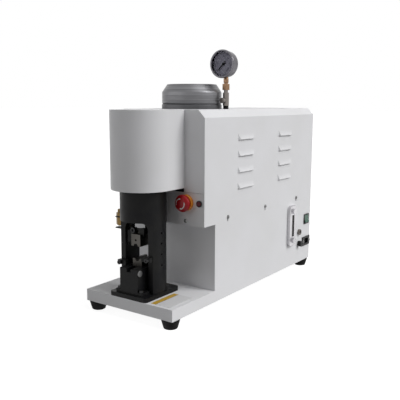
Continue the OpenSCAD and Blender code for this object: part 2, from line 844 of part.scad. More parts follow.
// Die shank: the tongue that locates a die in its holder or block
tongue_share = 0.45;
tongue_w = die_w * tongue_share;
tongue_h = 8;
holder_screw_x = -9.5;
holder_screw_d = 6;
holder_screw_len = 12;
holder_screw_head_d = 13;
holder_screw_raise = 8;
holder_screw_z = holder_bottom + holder_screw_raise;
arm_bite = 6;
upper_die_forward = 28;
die_step = 4;
upper_die_y = press_y - upper_die_forward;
lower_die_y = upper_die_y + die_step;
module tool_holder() {
  in_frame() color([0.1, 0.1, 0.1]) difference() {
    block([-holder_w / 2, holder_w / 2], [press_y - holder_d / 2, press_y + holder_d / 2],
      [holder_bottom, holder_top]);
    block([-tongue_w / 2, tongue_w / 2], [press_y - holder_d, press_y + holder_d],
      [holder_bottom - cut, holder_bottom + tongue_h]);
    block([-holder_w, arm_bite - holder_w / 2], [arm_y - arm_w / 2, arm_y + arm_w / 2],
      [arm_bottom, arm_top]);
    translate([holder_screw_x, press_y - holder_d / 2 + holder_screw_len, holder_screw_z])
      to_front() rod(holder_screw_d + 2 * thread_gap, holder_screw_len + cut);
  }
}
module holder_screw() {
  in_frame() color("silver")
    translate([holder_screw_x, press_y - holder_d / 2, holder_screw_z]) to_front() {
      difference() {
        rod(holder_screw_head_d, holder_screw_d);
        translate([0, 0, holder_screw_d / 2]) hexagon(holder_screw_d, holder_screw_d);
      }
      translate([0, 0, -holder_screw_len]) rod(holder_screw_d, holder_screw_len);
    }
}

// Nest: the half-round groove across a die's face
die_pin_d = 5;
die_pin_depth = 6;
module upper_die() {
  in_frame() color("silver") difference() {
    union() {
      block([-die_w / 2, die_w / 2], [upper_die_y, upper_die_y + die_d],
        [upper_die_bottom, holder_bottom]);
      block([-tongue_w / 2, tongue_w / 2], [upper_die_y + (die_d - holder_d / 2) / 2,
        upper_die_y + die_d], [holder_bottom, holder_bottom + tongue_h]);
    }
    translate([0, upper_die_y - cut, upper_die_bottom]) rotate([-90, 0, 0])
      rod(2 * nest_r, die_d + 2 * cut);
    translate([0, upper_die_y + die_pin_depth, upper_die_bottom + upper_die_h / 2])
      to_front() rod(die_pin_d, die_pin_depth + cut);
  }
}
module lower_die() {
  in_frame() color("silver") difference() {
    union() {
      block([-die_w / 2, die_w / 2], [lower_die_y, lower_die_y + die_d],
        [block_top, lower_die_top]);
      block([-tongue_w / 2, tongue_w / 2], [lower_die_y, lower_die_y + die_d],
        [block_top - tongue_h, block_top]);
    }
    translate([0, lower_die_y - cut, lower_die_top]) rotate([-90, 0, 0])
      rod(2 * nest_r, die_d + 2 * cut);
  }
}
module limit_arm() {
  in_frame() color([0.1, 0.1, 0.1])
    block([-holder_w / 2 - arm_len, arm_bite - holder_w / 2],
      [arm_y - arm_w / 2, arm_y + arm_w / 2], [arm_bottom, arm_top]);
}

// Lower die block with its foot, on the flange
block_d = 76;
side_screw_d = 15;
side_screw_h = 2;
side_screw_inset = 8;
module at_side_screw() {
  translate([block_w / 2, press_y - block_front + side_screw_inset,
    block_top - side_screw_inset - cut]) rotate([0, 90, 0]) children();
}
module die_block() {
  in_frame() color([0.1, 0.1, 0.1]) difference() {
    union() {
      block([-block_w / 2, block_w / 2], [press_y - block_front, press_y - block_front + block_d],
        [flange_top, block_top]);
      block([-block_foot_w / 2, block_foot_w / 2],
        [press_y - block_front, flat_y - cut], [flange_top, flange_top + block_foot_t]);
    }
    block([-tongue_w / 2, tongue_w / 2], [0, press_y + block_d],
      [block_top - tongue_h, block_top + cut]);
    at_block_bolts() translate([0, 0, -block_foot_t - cut])
      rod(socket_screw_d + 2 * hole_gap, block_foot_t + 2 * cut);
    at_side_screw() translate([0, 0, -side_hole_depth])
      rod(socket_screw_d + 2 * thread_gap, side_hole_depth + cut);
  }
}
module block_side_screw() {
  in_frame() color("gainsboro") at_side_screw() {
    rod(side_screw_d, side_screw_h);
    translate([0, 0, -side_hole_depth]) rod(socket_screw_d, side_hole_depth);
  }
}
module guard_clips() {
  in_frame() color([0.1, 0.1, 0.1]) difference() {
    union() {
      translate([window_w / 2 - right_clip_reach, flat_y, clip_z])
        block([0, clip_w], [-clip_d, 0], [-clip_h / 2, clip_h / 2]);
      translate([left_clip_reach - window_w / 2, flat_y, clip_z - left_clip_drop])
        block([-clip_w, 0], [-clip_d, 0], [-clip_h / 2, clip_h / 2]);
    }
    at_clip_screws() hole_cut(socket_screw_d, clip_d + cut);
  }
}
module socket_screws() {
  in_frame() color("dimgray") {
    at_block_bolts() socket_screw();
    at_clip_screws() socket_screw();
    at_bracket_screw() socket_screw();
  }
}

// Sensor that sees the arm, on a bracket at the column's left side
sensor_inset = 10;
shelf_rim = 1.5;
sensor_x = -(holder_w / 2 + arm_len - sensor_inset);
shelf_w = arm_w + 2 * slot_play;
sensor_nut_h = 8;
module sensor_bracket() {
  in_frame() color([0.1, 0.1, 0.1]) difference() {
    union() {
      block([sensor_x - sensor_d / 2 - shelf_rim, seat_depth - column_r],
        [arm_y - shelf_w / 2, arm_y + shelf_w / 2], [shelf_bottom, shelf_bottom + arm_t]);
      block([-column_r, seat_depth - column_r],
        [arm_y - shelf_w / 2, bracket_screw_y + socket_screw_d],
        [shelf_bottom, shelf_bottom + bracket_h]);
    }
    translate([sensor_x, arm_y, shelf_bottom - cut])
      rod(sensor_d + 2 * thread_gap, arm_t + 2 * cut);
    at_bracket_screw() hole_cut(socket_screw_d, seat_depth + cut);
  }
}
module limit_sensor() {
  in_frame() color([0.55, 0.45, 0.3]) translate([sensor_x, arm_y, arm_top + sensor_gap]) {
    rod(sensor_d, sensor_h);
    translate([0, 0, sensor_face_h]) rotate([0, 0, 30]) hexagon(sensor_af, sensor_hex_h);
  }
}
module sensor_nut() {
  in_frame() color([0.55, 0.45, 0.3]) translate([sensor_x, arm_y, shelf_bottom + arm_t])
    difference() {
      rotate([0, 0, 30]) hexagon(sensor_af, sensor_nut_h);
      translate([0, 0, -cut]) rod(sensor_d + 2 * thread_gap, sensor_nut_h + 2 * cut);
    }
}

// Round cap over the motor's fan end, on its ring
ring_w = 14;
ring_chamfer = 3;
cap_wall = 3;
cap_lip = 0.5;
module at_motor(z) { translate([0, motor_y, z]) children(); }
module cap_ring() {
  in_frame() color("gray") at_motor(top_z) rotate_extrude()
    polygon([[cap_d / 2 - ring_w, 0], [cap_d / 2, 0], [cap_d / 2, cap_ring_h - ring_chamfer],
      [cap_d / 2 - ring_chamfer, cap_ring_h], [cap_d / 2 - ring_w, cap_ring_h]]);
}
module motor_cap() {
  in_frame() color("gray") at_motor(top_z + cap_ring_h) rotate_extrude()
    polygon([[cap_d / 2 - cap_lip - cap_wall, 0], [cap_d / 2 - cap_lip, 0],
      [cap_d / 2 - cap_lip, cap_h - cap_ring_h - cap_bevel_h], [cap_top_d / 2, cap_h - cap_ring_h],
      [0, cap_h - cap_ring_h], [0, cap_h - cap_ring_h - cap_wall],
      [cap_top_d / 2 - cap_wall, cap_h - cap_ring_h - cap_wall],
      [cap_d / 2 - cap_lip - cap_wall, cap_h - cap_ring_h - cap_bevel_h - cap_wall / 2]]);
}

// Motor standing on the deck, its shaft reaching down into the pump
motor_h = housing_h - sheet;
stator_share = 0.4;
stator_h = motor_h * stator_share;
stator_z = joint_z + (motor_h - stator_h) / 2;
shield_t = 14;
shaft_fit = 0.05;
shaft_bite = 16;
module motor_housing() {
  in_frame() color("dimgray") {
    at_motor(joint_z) ring(motor_d, motor_hole_d, motor_h);
    at_motor(stator_z) ring(motor_hole_d, rotor_d + 2 * air_gap, stator_h);
  }
}
module motor_bearings() {
  in_frame() color("silver") for (z = [joint_z, joint_z + motor_h - shield_t])
    at_motor(z) ring(motor_hole_d, shaft_d + 2 * shaft_fit, shield_t);
}
module motor_rotor() {
  in_frame() color("silver") {
    at_motor(stator_z) rod(rotor_d, stator_h);
    at_motor(deck_bottom - shaft_bite) rod(shaft_d, deck_t + motor_h + shaft_bite);
  }
}
module pump() {
  in_frame() color("silver") difference() {
    at_motor(deck_bottom - pump_h) rod(pump_d, pump_h);
    at_motor(deck_bottom - shaft_bite - cut) rod(shaft_d + 2 * shaft_fit, shaft_bite + 2 * cut);
  }
}
tank_y = cabinet_front + sheet + tank_gap;
tank_d = base_d - sheet - tank_rear - tank_y;
module oil_tank() {
  in_frame() color("gray") difference() {
    block([-inner_w, inner_w], [tank_y, tank_y + tank_d], [base_top, deck_bottom]);
    block([tank_wall - inner_w, inner_w - tank_wall],
      [tank_y + tank_wall, tank_y + tank_d - tank_wall], [base_top + tank_wall, joint_z]);
    at_level_bolts() hole_cut(level_bolt_d, sheet + tank_wall + cut);
  }
}

// Valve block with its solenoid, and the pipes to the cylinder and the gauge
valve_block_gap = 9;
valve_block_w = 2 * (inner_w - valve_block_gap - gauge_x);
valve_block_d = 60;
valve_block_h = 50;
solenoid_d = 36;
solenoid_h = 45;
valve_block_y = motor_y + motor_d;
valve_block_x = gauge_x;
pipe_bend = 15;
pipe_spacing_share = 0.26;
pipe_spacing = valve_block_w * pipe_spacing_share;
pipe_room = 42;
gauge_pipe_drop = 39;
gauge_tail_h = 14;
pipe_x = gauge_x + pipe_spacing;
pipe_y = housing_front + pipe_room;
gauge_pipe_z = top_z - gauge_pipe_drop;
gauge_tail_end = top_z - gauge_tail_h;
module valve_block() {
  in_frame() color("silver") translate([valve_block_x, valve_block_y, joint_z]) difference() {
    union() {
      translate([-valve_block_w / 2, -valve_block_d / 2, 0])
        cube([valve_block_w, valve_block_d, valve_block_h]);
      translate([0, valve_block_d / 2, valve_block_h / 2]) rotate([-90, 0, 0])
        rod(solenoid_d, solenoid_h);
    }
    for (x = [0, pipe_x - valve_block_x]) translate([x, 0, valve_block_h - port_depth])
      rod(pipe_d + 2 * thread_gap, port_depth + cut);
    translate([pipe_x - valve_block_x, port_depth - valve_block_d / 2, valve_block_h / 2])
      to_front() rod(pipe_d + 2 * thread_gap, port_depth + cut);
  }
}

function unit(v) = v / norm(v);
module pipe_bend_at(p, a, b, d) {
  c = p - a * pipe_bend + b * pipe_bend;
  n = cross(-b, a);
  multmatrix([[-b.x, a.x, n.x, c.x], [-b.y, a.y, n.y, c.y], [-b.z, a.z, n.z, c.z]])
    rotate_extrude(angle = 90) translate([pipe_bend, 0]) circle(d = d);
}
module pipe_run(from, to, d) {
  v = to - from;
  turn = v.z != 0 ? [v.z > 0 ? 0 : 180, 0, 0] : v.y != 0 ? [v.y > 0 ? -90 : 90, 0, 0]
    : [0, v.x > 0 ? 90 : -90, 0];
  translate(from) rotate(turn) rod(d, norm(v));
}
module pipe(points, d) {
  last = len(points) - 1;
  for (i = [0:last - 1]) {
    a = unit(points[i + 1] - points[i]);
    pipe_run(points[i] + (i == 0 ? 0 : pipe_bend) * a,
      points[i + 1] - (i + 1 == last ? 0 : pipe_bend) * a, d);
    if (i > 0) pipe_bend_at(points[i], unit(points[i] - points[i - 1]), a, d);
  }
}
module oil_pipes() {
  cylinder_y = press_y + barrel_d / 2 - port_depth;
  block_z = joint_z + valve_block_h - port_depth;
  block_front_y = valve_block_y - valve_block_d / 2 + port_depth;
  low_z = joint_z + valve_block_h / 2;
  in_frame() color("silver") {
    pipe([[pipe_x, valve_block_y, block_z], [pipe_x, valve_block_y, port_z_high],
      [pipe_x, pipe_y, port_z_high], [0, pipe_y, port_z_high], [0, cylinder_y, port_z_high]], pipe_d);
    pipe([[pipe_x, block_front_y, low_z], [pipe_x, pipe_y, low_z], [pipe_x, pipe_y, port_z_low],
      [0, pipe_y, port_z_low], [0, cylinder_y, port_z_low]], pipe_d);
    pipe([[gauge_x, valve_block_y, block_z], [gauge_x, valve_block_y, gauge_pipe_z],
      [gauge_x, gauge_y, gauge_pipe_z], [gauge_x, gauge_y, gauge_tail_end]], pipe_d);
  }
}

// Gauge group on its stem, from the housing's top up
grommet_d = 13.4;
grommet_h = 8;
gauge_stem_d = 10;
gauge_stem_h = 6;
union_h = 15;
neck_d = 12.5;
spindle_d = 5;
spindle_bite = 6;
knob_gap = 2;
knob_height_share = 0.4;
knob_z = grommet_h + valve_h * knob_height_share;
gauge_z = top_z + gauge_h;
gauge_rear_y = gauge_y + neck_d / 2;
case_wall = 2;
case_round = 4;
dial_t = 1;
dial_level = 17;
bezel_lip = 1.5;
bezel_cover = 3.5;
glass_t = 2.3;
arbor_d = 2;
arbor_boss_d = 8;
module at_stem(z) { translate([gauge_x, gauge_y, top_z + z]) children(); }
module at_dial(z) { translate([gauge_x, gauge_rear_y, gauge_z]) to_front() translate([0, 0, z]) children(); }
module gauge_grommet() {
  in_frame() color([0.1, 0.1, 0.1]) at_stem(0) ring(grommet_d, gauge_tail_d, grommet_h);
}
module gauge_valve() {
  in_frame() color("silver") difference() {
    union() {
      at_stem(grommet_h) rod(valve_d, valve_h);
      at_stem(grommet_h + valve_h) rod(gauge_stem_d, gauge_stem_h);
      translate([gauge_x, gauge_y, gauge_tail_end])
        rod(gauge_tail_d, top_z + grommet_h - gauge_tail_end);
    }
    at_stem(knob_z) translate([0, spindle_bite - valve_d / 2, 0]) to_front()
      rod(spindle_d + 2 * shaft_fit, valve_d);
  }
}
module gauge_valve_knob() {
  in_frame() color("gray") at_stem(knob_z) translate([0, -valve_d / 2, 0]) to_front() {
    translate([0, 0, knob_gap]) rod(knob_d, knob_len);
    translate([0, 0, cut - spindle_bite]) rod(spindle_d, spindle_bite + knob_gap);
  }
}
module gauge_union() {
  in_frame() color("silver") at_stem(grommet_h + valve_h + gauge_stem_h)
    hexagon(union_af, union_h);
}
module gauge_case() {
  case_r = gauge_case_d / 2;
  bezel_r = bezel_d / 2;
  seat_r = case_r - case_wall;
  front = gauge_t - bezel_t;
  in_frame() color("silver") difference() {
    union() {
      at_dial(0) rotate_extrude() {
        square([case_r - case_round, front]);
        translate([0, case_round]) square([case_r, front - case_round]);
        translate([case_r - case_round, case_round]) intersection() {
          circle(r = case_round);
          translate([0, -case_round]) square(case_round);
        }
      }
      at_dial(front) rod(bezel_d, bezel_t);
      at_stem(grommet_h + valve_h + gauge_stem_h + union_h)
        rod(neck_d, gauge_h - union_h - gauge_stem_h - valve_h - grommet_h - case_r + case_wall);
    }
    at_dial(case_wall) difference() {
      rod(2 * (seat_r - case_wall), gauge_t);
      rod(arbor_boss_d, dial_level / 2);
    }
    at_dial(dial_level) rod(2 * seat_r, gauge_t - dial_level - bezel_lip);
    at_dial(dial_level) rod(2 * (seat_r - bezel_cover + case_wall), gauge_t);
    at_dial(case_wall + cut) rod(arbor_d + 2 * shaft_fit, gauge_t);
  }
}
module gauge_dial() {
  in_frame() color("white") at_dial(dial_level)
    ring(gauge_case_d - 2 * case_wall, 2 * arbor_d, dial_t);
}
pointer_len = 24;
pointer_tail = 8;
pointer_w = 2.4;
pointer_hub_d = 7;
pointer_zero = 180 + 90 * (1 - (gauge_sweep - 180) / 180);
module gauge_pointer() {
  in_frame() color("black") at_dial(dial_level + 2 * dial_t) {
    rod(pointer_hub_d, dial_t);
    rotate([0, 0, pointer_zero]) linear_extrude(height = dial_t)
      polygon([[-pointer_tail, -pointer_w / 2], [-pointer_tail, pointer_w / 2],
        [pointer_len, pointer_w / 8], [pointer_len, -pointer_w / 8]]);
    translate([0, 0, -dial_level + case_wall]) rod(arbor_d, dial_level - case_wall);
  }
}
module gauge_glass() {
  in_frame() color([0.8, 0.9, 0.9, 0.4]) at_dial(gauge_t - bezel_lip - glass_t)
    rod(gauge_case_d - 2 * case_wall, glass_t);
}

// Emergency stop: collar in the panel, plunger, and mushroom head that twists on it
collar_out = 9;
estop_barrel = 28;
head_spigot_d = 8;
head_spigot_h = 8;
head_under_share = 0.47;
head_under = mushroom_out * head_under_share;
head_edge = 5;
module estop_collar() {
  in_frame() color("gold") at_estop() difference() {
    union() {
      rod(collar_d, collar_out);
      translate([0, 0, -estop_barrel]) rod(estop_hole_d, estop_barrel);
    }
    translate([0, 0, cut - estop_barrel])
      rod(plunger_d + 2 * shaft_fit, estop_barrel + collar_out);
  }
}
module estop_plunger() {
  in_frame() color("red") at_estop() difference() {
    translate([0, 0, cut + estop_travel + hole_gap - estop_barrel])
      rod(plunger_d, estop_barrel + head_under - estop_travel - cut - hole_gap);
    translate([0, 0, head_under - head_spigot_h - cut])
      rod(head_spigot_d + 2 * shaft_fit, head_spigot_h + 2 * cut);
  }
}
module estop_head() {
  r = mushroom_d / 2;
  crown = mushroom_out - head_under - head_edge - hole_gap;
  dome_r = (r * r + crown * crown) / (2 * crown);
  in_frame() color("red") at_estop() {
    translate([0, 0, head_under + hole_gap]) {
      rod(mushroom_d, head_edge);
      intersection() {
        translate([0, 0, head_edge]) rod(mushroom_d, crown);
        translate([0, 0, head_edge + crown - dome_r]) sphere(r = dome_r);
      }
    }
    translate([0, 0, head_under - head_spigot_h]) rod(head_spigot_d, head_spigot_h + head_edge);
  }
}

button_rim = 3;
button_barrel = 18;
button_out = 5;
module push_button_bezel() {
  in_frame() color([0.1, 0.1, 0.1]) at_button() difference() {
    union() {
      rod(button_bezel_d, button_rim);
      translate([0, 0, -button_barrel]) rod(button_barrel_d, button_barrel);
    }
    translate([0, 0, cut - button_barrel])
      rod(button_cap_d + 2 * shaft_fit, button_barrel + button_rim);
  }
}
module push_button() {
  in_frame() color([0.3, 0, 0.05]) at_button()
    translate([0, 0, -button_barrel / 2]) rod(button_cap_d, button_barrel / 2 + button_out);
}

// Rocker switch
frame_out = 2.5;
switch_depth = 22;
pivot_in = 1;
pin_d = 3;
dish = 2.2;
module at_pivot() {
  translate([half_w - pivot_in, base_d - rocker_back, base_top + rocker_z]) children();
}
module switch_frame() {
  in_frame() color([0.1, 0.1, 0.1]) difference() {
    union() {
      at_switch() linear_extrude(height = frame_out)
        square([rocker_w, rocker_frame_h], center = true);
      at_switch() translate([0, 0, -switch_depth]) linear_extrude(height = switch_depth + cut)
        square([switch_body_w, switch_body_h], center = true);
    }
    at_switch() translate([0, 0, switch_wall - switch_depth])
      linear_extrude(height = switch_depth + frame_out)
        square([rocker_body_w + 2 * pass_gap, 2 * (rocker_r + pass_gap)], center = true);
    at_pivot() translate([0, rocker_w / 2, 0]) to_front() rod(pin_d + 2 * shaft_fit, rocker_w);
  }
}
module rocker() {
  in_frame() color([0.25, 0.45, 0.4]) at_pivot() rotate([0, -rocker_tilt / 2, 0]) {
    translate([0, rocker_body_w / 2, 0]) to_front() linear_extrude(height = rocker_body_w)
      intersection() {
        circle(r = rocker_r);
        polygon([[-rocker_r / 2, -rocker_r], [-rocker_r / 2, rocker_r],
          [pivot_in + dish + rocker_r * tan(rocker_tilt / 2), rocker_r], [pivot_in + dish, 0],
          [pivot_in + dish + rocker_r * tan(rocker_tilt / 2), -rocker_r]]);
      }
    translate([0, switch_body_w / 2, 0]) to_front() rod(pin_d, switch_body_w);
  }
}

// Power inlet with three flat contacts in its socket
inlet_depth = 24;
contact_w = 4;
contact_t = 2;
contact_pitch = 7;
contact_shares = [[-1, -0.3], [0, 0.3], [1, -0.3]];
module power_inlet() {
  in_frame() color([0.1, 0.1, 0.1]) difference() {
    at_inlet() {
      linear_extrude(height = inlet_flange_t) square([inlet_w, inlet_h], center = true);
      translate([0, 0, -inlet_depth]) linear_extrude(height = inlet_depth + cut)
        square([inlet_body_w, inlet_body_h], center = true);
    }
    at_inlet() difference() {
      translate([0, 0, inlet_wall - inlet_depth])
        linear_extrude(height = inlet_depth + inlet_flange_t)
          square([socket_w, socket_h], center = true);
      for (s = contact_shares)
        translate([s.x * contact_pitch, s.y * contact_pitch, -inlet_depth])
          linear_extrude(height = inlet_depth - inlet_wall)
            square([contact_t, contact_w], center = true);
    }
    at_inlet_screws() hole_cut(screw_d, inlet_flange_t + cut);
  }
}
fuse_depth = 26;
fuse_slot_w = 2;
module fuse_holder() {
  in_frame() color([0.1, 0.1, 0.1]) at_fuse() difference() {
    union() {
      rod(fuse_d, fuse_out);
      translate([0, 0, -fuse_depth]) rod(fuse_barrel_d, fuse_depth);
    }
    translate([0, 0, fuse_out - fuse_slot_w]) linear_extrude(height = fuse_slot_w + cut)
      square([fuse_barrel_d, fuse_slot_w], center = true);
  }
}
pedal_out = 6;
pedal_socket_share = 0.65;
module pedal_socket() {
  in_frame() color("silver") at_pedal() difference() {
    union() {
      rod(pedal_d, pedal_out);
      translate([0, 0, -fuse_depth]) rod(pedal_barrel_d, fuse_depth);
    }
    translate([0, 0, -pedal_out]) rod(pedal_d * pedal_socket_share, 2 * pedal_out + cut);
  }
}

// Oil level gauge: frame, clear tube and two bolts into the tank
level_corner_share = 0.25;
level_window_share = 0.35;
tube_bite = 4;
level_bolt_head_d = 14;
level_shank = level_t + sheet + tank_wall + 2 * cut;
level_window_h = level_pitch - level_bolt_head_d - 2 * tube_bite;
module level_frame() {
  in_frame() color([0.15, 0.15, 0.15]) difference() {
    at_level() linear_extrude(height = level_t)
      rounded_rect(level_w, level_h, level_w * level_corner_share);
    at_level() translate([0, 0, -cut]) linear_extrude(height = level_t + 2 * cut)
      square([level_w * level_window_share, level_window_h], center = true);
    translate([half_w + level_t / 2, level_y, level_mid - level_window_h / 2 - tube_bite])
      rod(level_tube_d + 2 * thread_gap, level_window_h + 2 * tube_bite);
    translate([0, 0, 0]) at_level_bolts() translate([0, 0, level_t])
      hole_cut(level_bolt_d, level_t + cut);
  }
}
module level_tube() {
  in_frame() color([0.8, 0.85, 0.7, 0.5])
    translate([half_w + level_t / 2, level_y, level_mid - level_window_h / 2 - tube_bite])
      rod(level_tube_d, level_window_h + 2 * tube_bite);
}
module level_bolts() {
  in_frame() color("silver") at_level_bolts() translate([0, 0, level_t]) {
    hexagon(level_bolt_head_d, level_head_h);
    translate([0, 0, -level_shank]) rod(level_bolt_d, level_shank);
  }
}

label_inset_x = 12;
label_inset_y = 9;
module label_plate() {
  in_frame() color([0.9, 0.85, 0.6])
    block([half_w - label_inset_x - label_w, half_w - label_inset_x],
      [label_inset_y, label_inset_y + label_len], [base_top, base_top + label_t]);
}

base_plate();
rubber_feet();
foot_screws();
lower_cabinet();
deck_plate();
rear_panel();
housing_cover();
cover_screws();
front_panel();
button_panel();
head_cover();
column();
flange_bolts();
cylinder_barrel();
cylinder_end_cap();
piston();
ram();
tool_holder();
holder_screw();
upper_die();
limit_arm();
lower_die();
die_block();
socket_screws();
block_side_screw();
guard_clips();
limit_sensor();
sensor_nut();
sensor_bracket();
cap_ring();
motor_cap();
motor_housing();
motor_rotor();
motor_bearings();
pump();
oil_tank();
valve_block();
oil_pipes();
gauge_grommet();
gauge_valve();
gauge_valve_knob();
gauge_union();
gauge_case();
gauge_dial();
gauge_pointer();
gauge_glass();
estop_collar();
estop_plunger();
estop_head();
push_button_bezel();
push_button();
switch_frame();
rocker();
power_inlet();
fuse_holder();
pedal_socket();
level_frame();
level_tube();
level_bolts();
label_plate();
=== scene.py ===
# %% [markdown]
# A bench-top hydraulic machine that crimps terminals onto cables. Its solids come from the CAD
# model, so this script first loads them as a fixed frame, and then gives every piece its finish.
# Where the photograph shows more than a plain solid, such as a dial or a screw's cross, a finer
# piece takes the solid's place. All lengths are in metres, +Z is up and the press faces -Y.

# %% Load the frame
import json
import math

import bmesh
import bpy
from mathutils import Matrix, Vector

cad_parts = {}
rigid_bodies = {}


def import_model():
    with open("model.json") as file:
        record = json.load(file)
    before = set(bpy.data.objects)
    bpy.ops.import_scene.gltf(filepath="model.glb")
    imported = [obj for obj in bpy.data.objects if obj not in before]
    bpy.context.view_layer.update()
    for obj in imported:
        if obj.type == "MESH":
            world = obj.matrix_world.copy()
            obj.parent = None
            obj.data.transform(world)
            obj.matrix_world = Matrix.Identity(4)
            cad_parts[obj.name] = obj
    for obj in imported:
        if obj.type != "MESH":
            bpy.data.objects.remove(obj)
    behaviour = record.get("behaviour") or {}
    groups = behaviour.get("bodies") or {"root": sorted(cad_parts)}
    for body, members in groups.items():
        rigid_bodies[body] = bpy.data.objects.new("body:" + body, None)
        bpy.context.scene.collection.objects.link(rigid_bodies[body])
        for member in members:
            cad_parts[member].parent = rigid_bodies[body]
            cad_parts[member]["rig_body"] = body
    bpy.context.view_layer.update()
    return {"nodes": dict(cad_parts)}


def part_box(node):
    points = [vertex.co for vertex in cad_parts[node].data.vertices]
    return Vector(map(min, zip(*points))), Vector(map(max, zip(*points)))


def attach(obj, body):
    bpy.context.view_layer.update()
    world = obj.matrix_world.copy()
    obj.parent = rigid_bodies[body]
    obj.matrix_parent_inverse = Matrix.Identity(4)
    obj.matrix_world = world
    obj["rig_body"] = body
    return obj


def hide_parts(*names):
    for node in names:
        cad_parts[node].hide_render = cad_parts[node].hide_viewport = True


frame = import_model()
solids = frame["nodes"]
mm = 0.001


# %% [markdown]
# The photograph was taken a little above the machine and 35 degrees to its right. Its place was
# worked out from the base plate's and the housing's corners, so the camera stands where the real
# one stood, in the frame of the CAD model, and its lens is as long as the picture's perspective
# asks. The horizon leans by a fraction of a degree, which the roll repeats.

# %% Camera
camera_place = Vector((0.8840, -1.31455, 0.4965))
azimuth, elevation, roll = math.radians(35.131), math.radians(9.364), math.radians(0.218)
sensor_width = 36
focal_share = 595.741 / 400


def camera_axes():
    back = Vector((math.sin(azimuth) * math.cos(elevation),
                   -math.cos(azimuth) * math.cos(elevation), math.sin(elevation)))
    right = Vector((0, 0, 1)).cross(back).normalized()
    up = back.cross(right)
    turned_right = right * math.cos(roll) + up * math.sin(roll)
    turned_up = up * math.cos(roll) - right * math.sin(roll)
    return turned_right, turned_up, back


camera_data = bpy.data.cameras.new("camera")
camera_data.sensor_width = sensor_width
camera_data.lens = sensor_width * focal_share
camera = bpy.data.objects.new("camera", camera_data)
camera.matrix_world = Matrix.Translation(camera_place) @ Matrix(camera_axes()).transposed().to_4x4()
bpy.context.scene.collection.objects.link(camera)
bpy.context.scene.camera = camera
print("lens", round(camera_data.lens, 2), "mm")


# %% [markdown]
# The studio is plain: a pale floor, a pale world and three wide lamps. The first stands to the
# upper right, a little behind, and makes the right side the brightest. The second stands higher
# and draws the highlight on the motor cap. The third, at the front left, keeps the front from
# going dark. Suns are used because they light the floor evenly to the horizon. The world and the
# floor look white to the camera and in reflections, but shine on the object as a mid grey. The
# floor glows of its own to the camera, so the object's shadow on it stays pale.

# %% Studio
lamp_key, lamp_top, lamp_fill, world_shine = 2.14, 0.56, 0.79, 0.12
floor_bounce, floor_shown, floor_glow = 0.3, 0.34, 0.92


def add_sun(name, towards, strength, softness):
    lamp = bpy.data.lights.new(name, "SUN")
    lamp.energy = strength
    lamp.angle = math.radians(softness)
    lamp_object = bpy.data.objects.new(name, lamp)
    lamp_object.rotation_euler = Vector(towards).to_track_quat("Z", "Y").to_euler()
    bpy.context.scene.collection.objects.link(lamp_object)


def seen_directly(tree):
    """1 for camera, mirror and glass rays, and 0 for the rays that light things."""
    path = tree.nodes.new("ShaderNodeLightPath")
    seen = path.outputs["Is Camera Ray"]
    for other in ("Is Glossy Ray", "Is Transmission Ray"):
        either = tree.nodes.new("ShaderNodeMath")
        either.operation = "MAXIMUM"
        tree.links.new(seen, either.inputs[0])
        tree.links.new(path.outputs[other], either.inputs[1])
        seen = either.outputs[0]
    return seen


def make_world():
    world = bpy.data.worlds.new("studio")
    world.use_nodes = True
    tree = world.node_tree
    strength = tree.nodes.new("ShaderNodeMapRange")
    strength.inputs["To Min"].default_value = world_shine
    strength.inputs["To Max"].default_value = 1
    tree.links.new(seen_directly(tree), strength.inputs["Value"])
    background = tree.nodes["Background"]
    background.inputs["Color"].default_value = (1, 1, 1, 1)
    tree.links.new(strength.outputs["Result"], background.inputs["Strength"])
    bpy.context.scene.world = world


def make_floor():
    size = 30
    mesh = bpy.data.meshes.new("floor")
    corners = [(-size, -size, 0), (size, -size, 0), (size, size, 0), (-size, size, 0)]
    mesh.from_pydata(corners, [], [(0, 1, 2, 3)])
    finish = bpy.data.materials.new("floor paint")
    finish.use_nodes = True
    tree = finish.node_tree
    shade = tree.nodes.new("ShaderNodeMapRange")
    shade.inputs["To Min"].default_value = floor_bounce
    shade.inputs["To Max"].default_value = floor_shown
    tree.links.new(seen_directly(tree), shade.inputs["Value"])
    paint = tree.nodes["Principled BSDF"]
    paint.inputs["Roughness"].default_value = 0.9
    paint.inputs["Specular IOR Level"].default_value = 0
    tree.links.new(shade.outputs["Result"], paint.inputs["Base Color"])
    glow = tree.nodes.new("ShaderNodeMath")
    glow.operation = "MULTIPLY"
    glow.inputs[1].default_value = floor_glow
    tree.links.new(seen_directly(tree), glow.inputs[0])
    paint.inputs["Emission Color"].default_value = (1, 1, 1, 1)
    tree.links.new(glow.outputs["Value"], paint.inputs["Emission Strength"])
    mesh.materials.append(finish)
    floor = bpy.data.objects.new("floor", mesh)
    bpy.context.scene.collection.objects.link(floor)


bpy.context.scene.view_settings.view_transform = "Standard"
add_sun("key", (0.8, 0.26, 0.58), lamp_key, 35)
add_sun("top", (0.4, 0.13, 0.9), lamp_top, 42)
add_sun("fill", (-0.55, -0.85, 0.15), lamp_fill, 70)
make_world()
make_floor()


# %% [markdown]
# Every finish here starts from the same few tricks, so each trick is one short helper. A base
# shader holds what is even all over. Cloudy noise varies its colour or its roughness a little.
# Fine bump gives it a surface, and a brushed surface is the same noise, stretched along the way
# that the tool ran. The noise reads object coordinates, so it lies still on the piece.

# %% Helpers for finishes
def new_finish(name, color, roughness, metallic=0.0, specular=0.5):
    finish = bpy.data.materials.new(name)
    finish.use_nodes = True
    shader = finish.node_tree.nodes["Principled BSDF"]
    shader.inputs["Base Color"].default_value = (*color, 1)
    shader.inputs["Roughness"].default_value = roughness
    shader.inputs["Metallic"].default_value = metallic
    shader.inputs["Specular IOR Level"].default_value = specular
    return finish


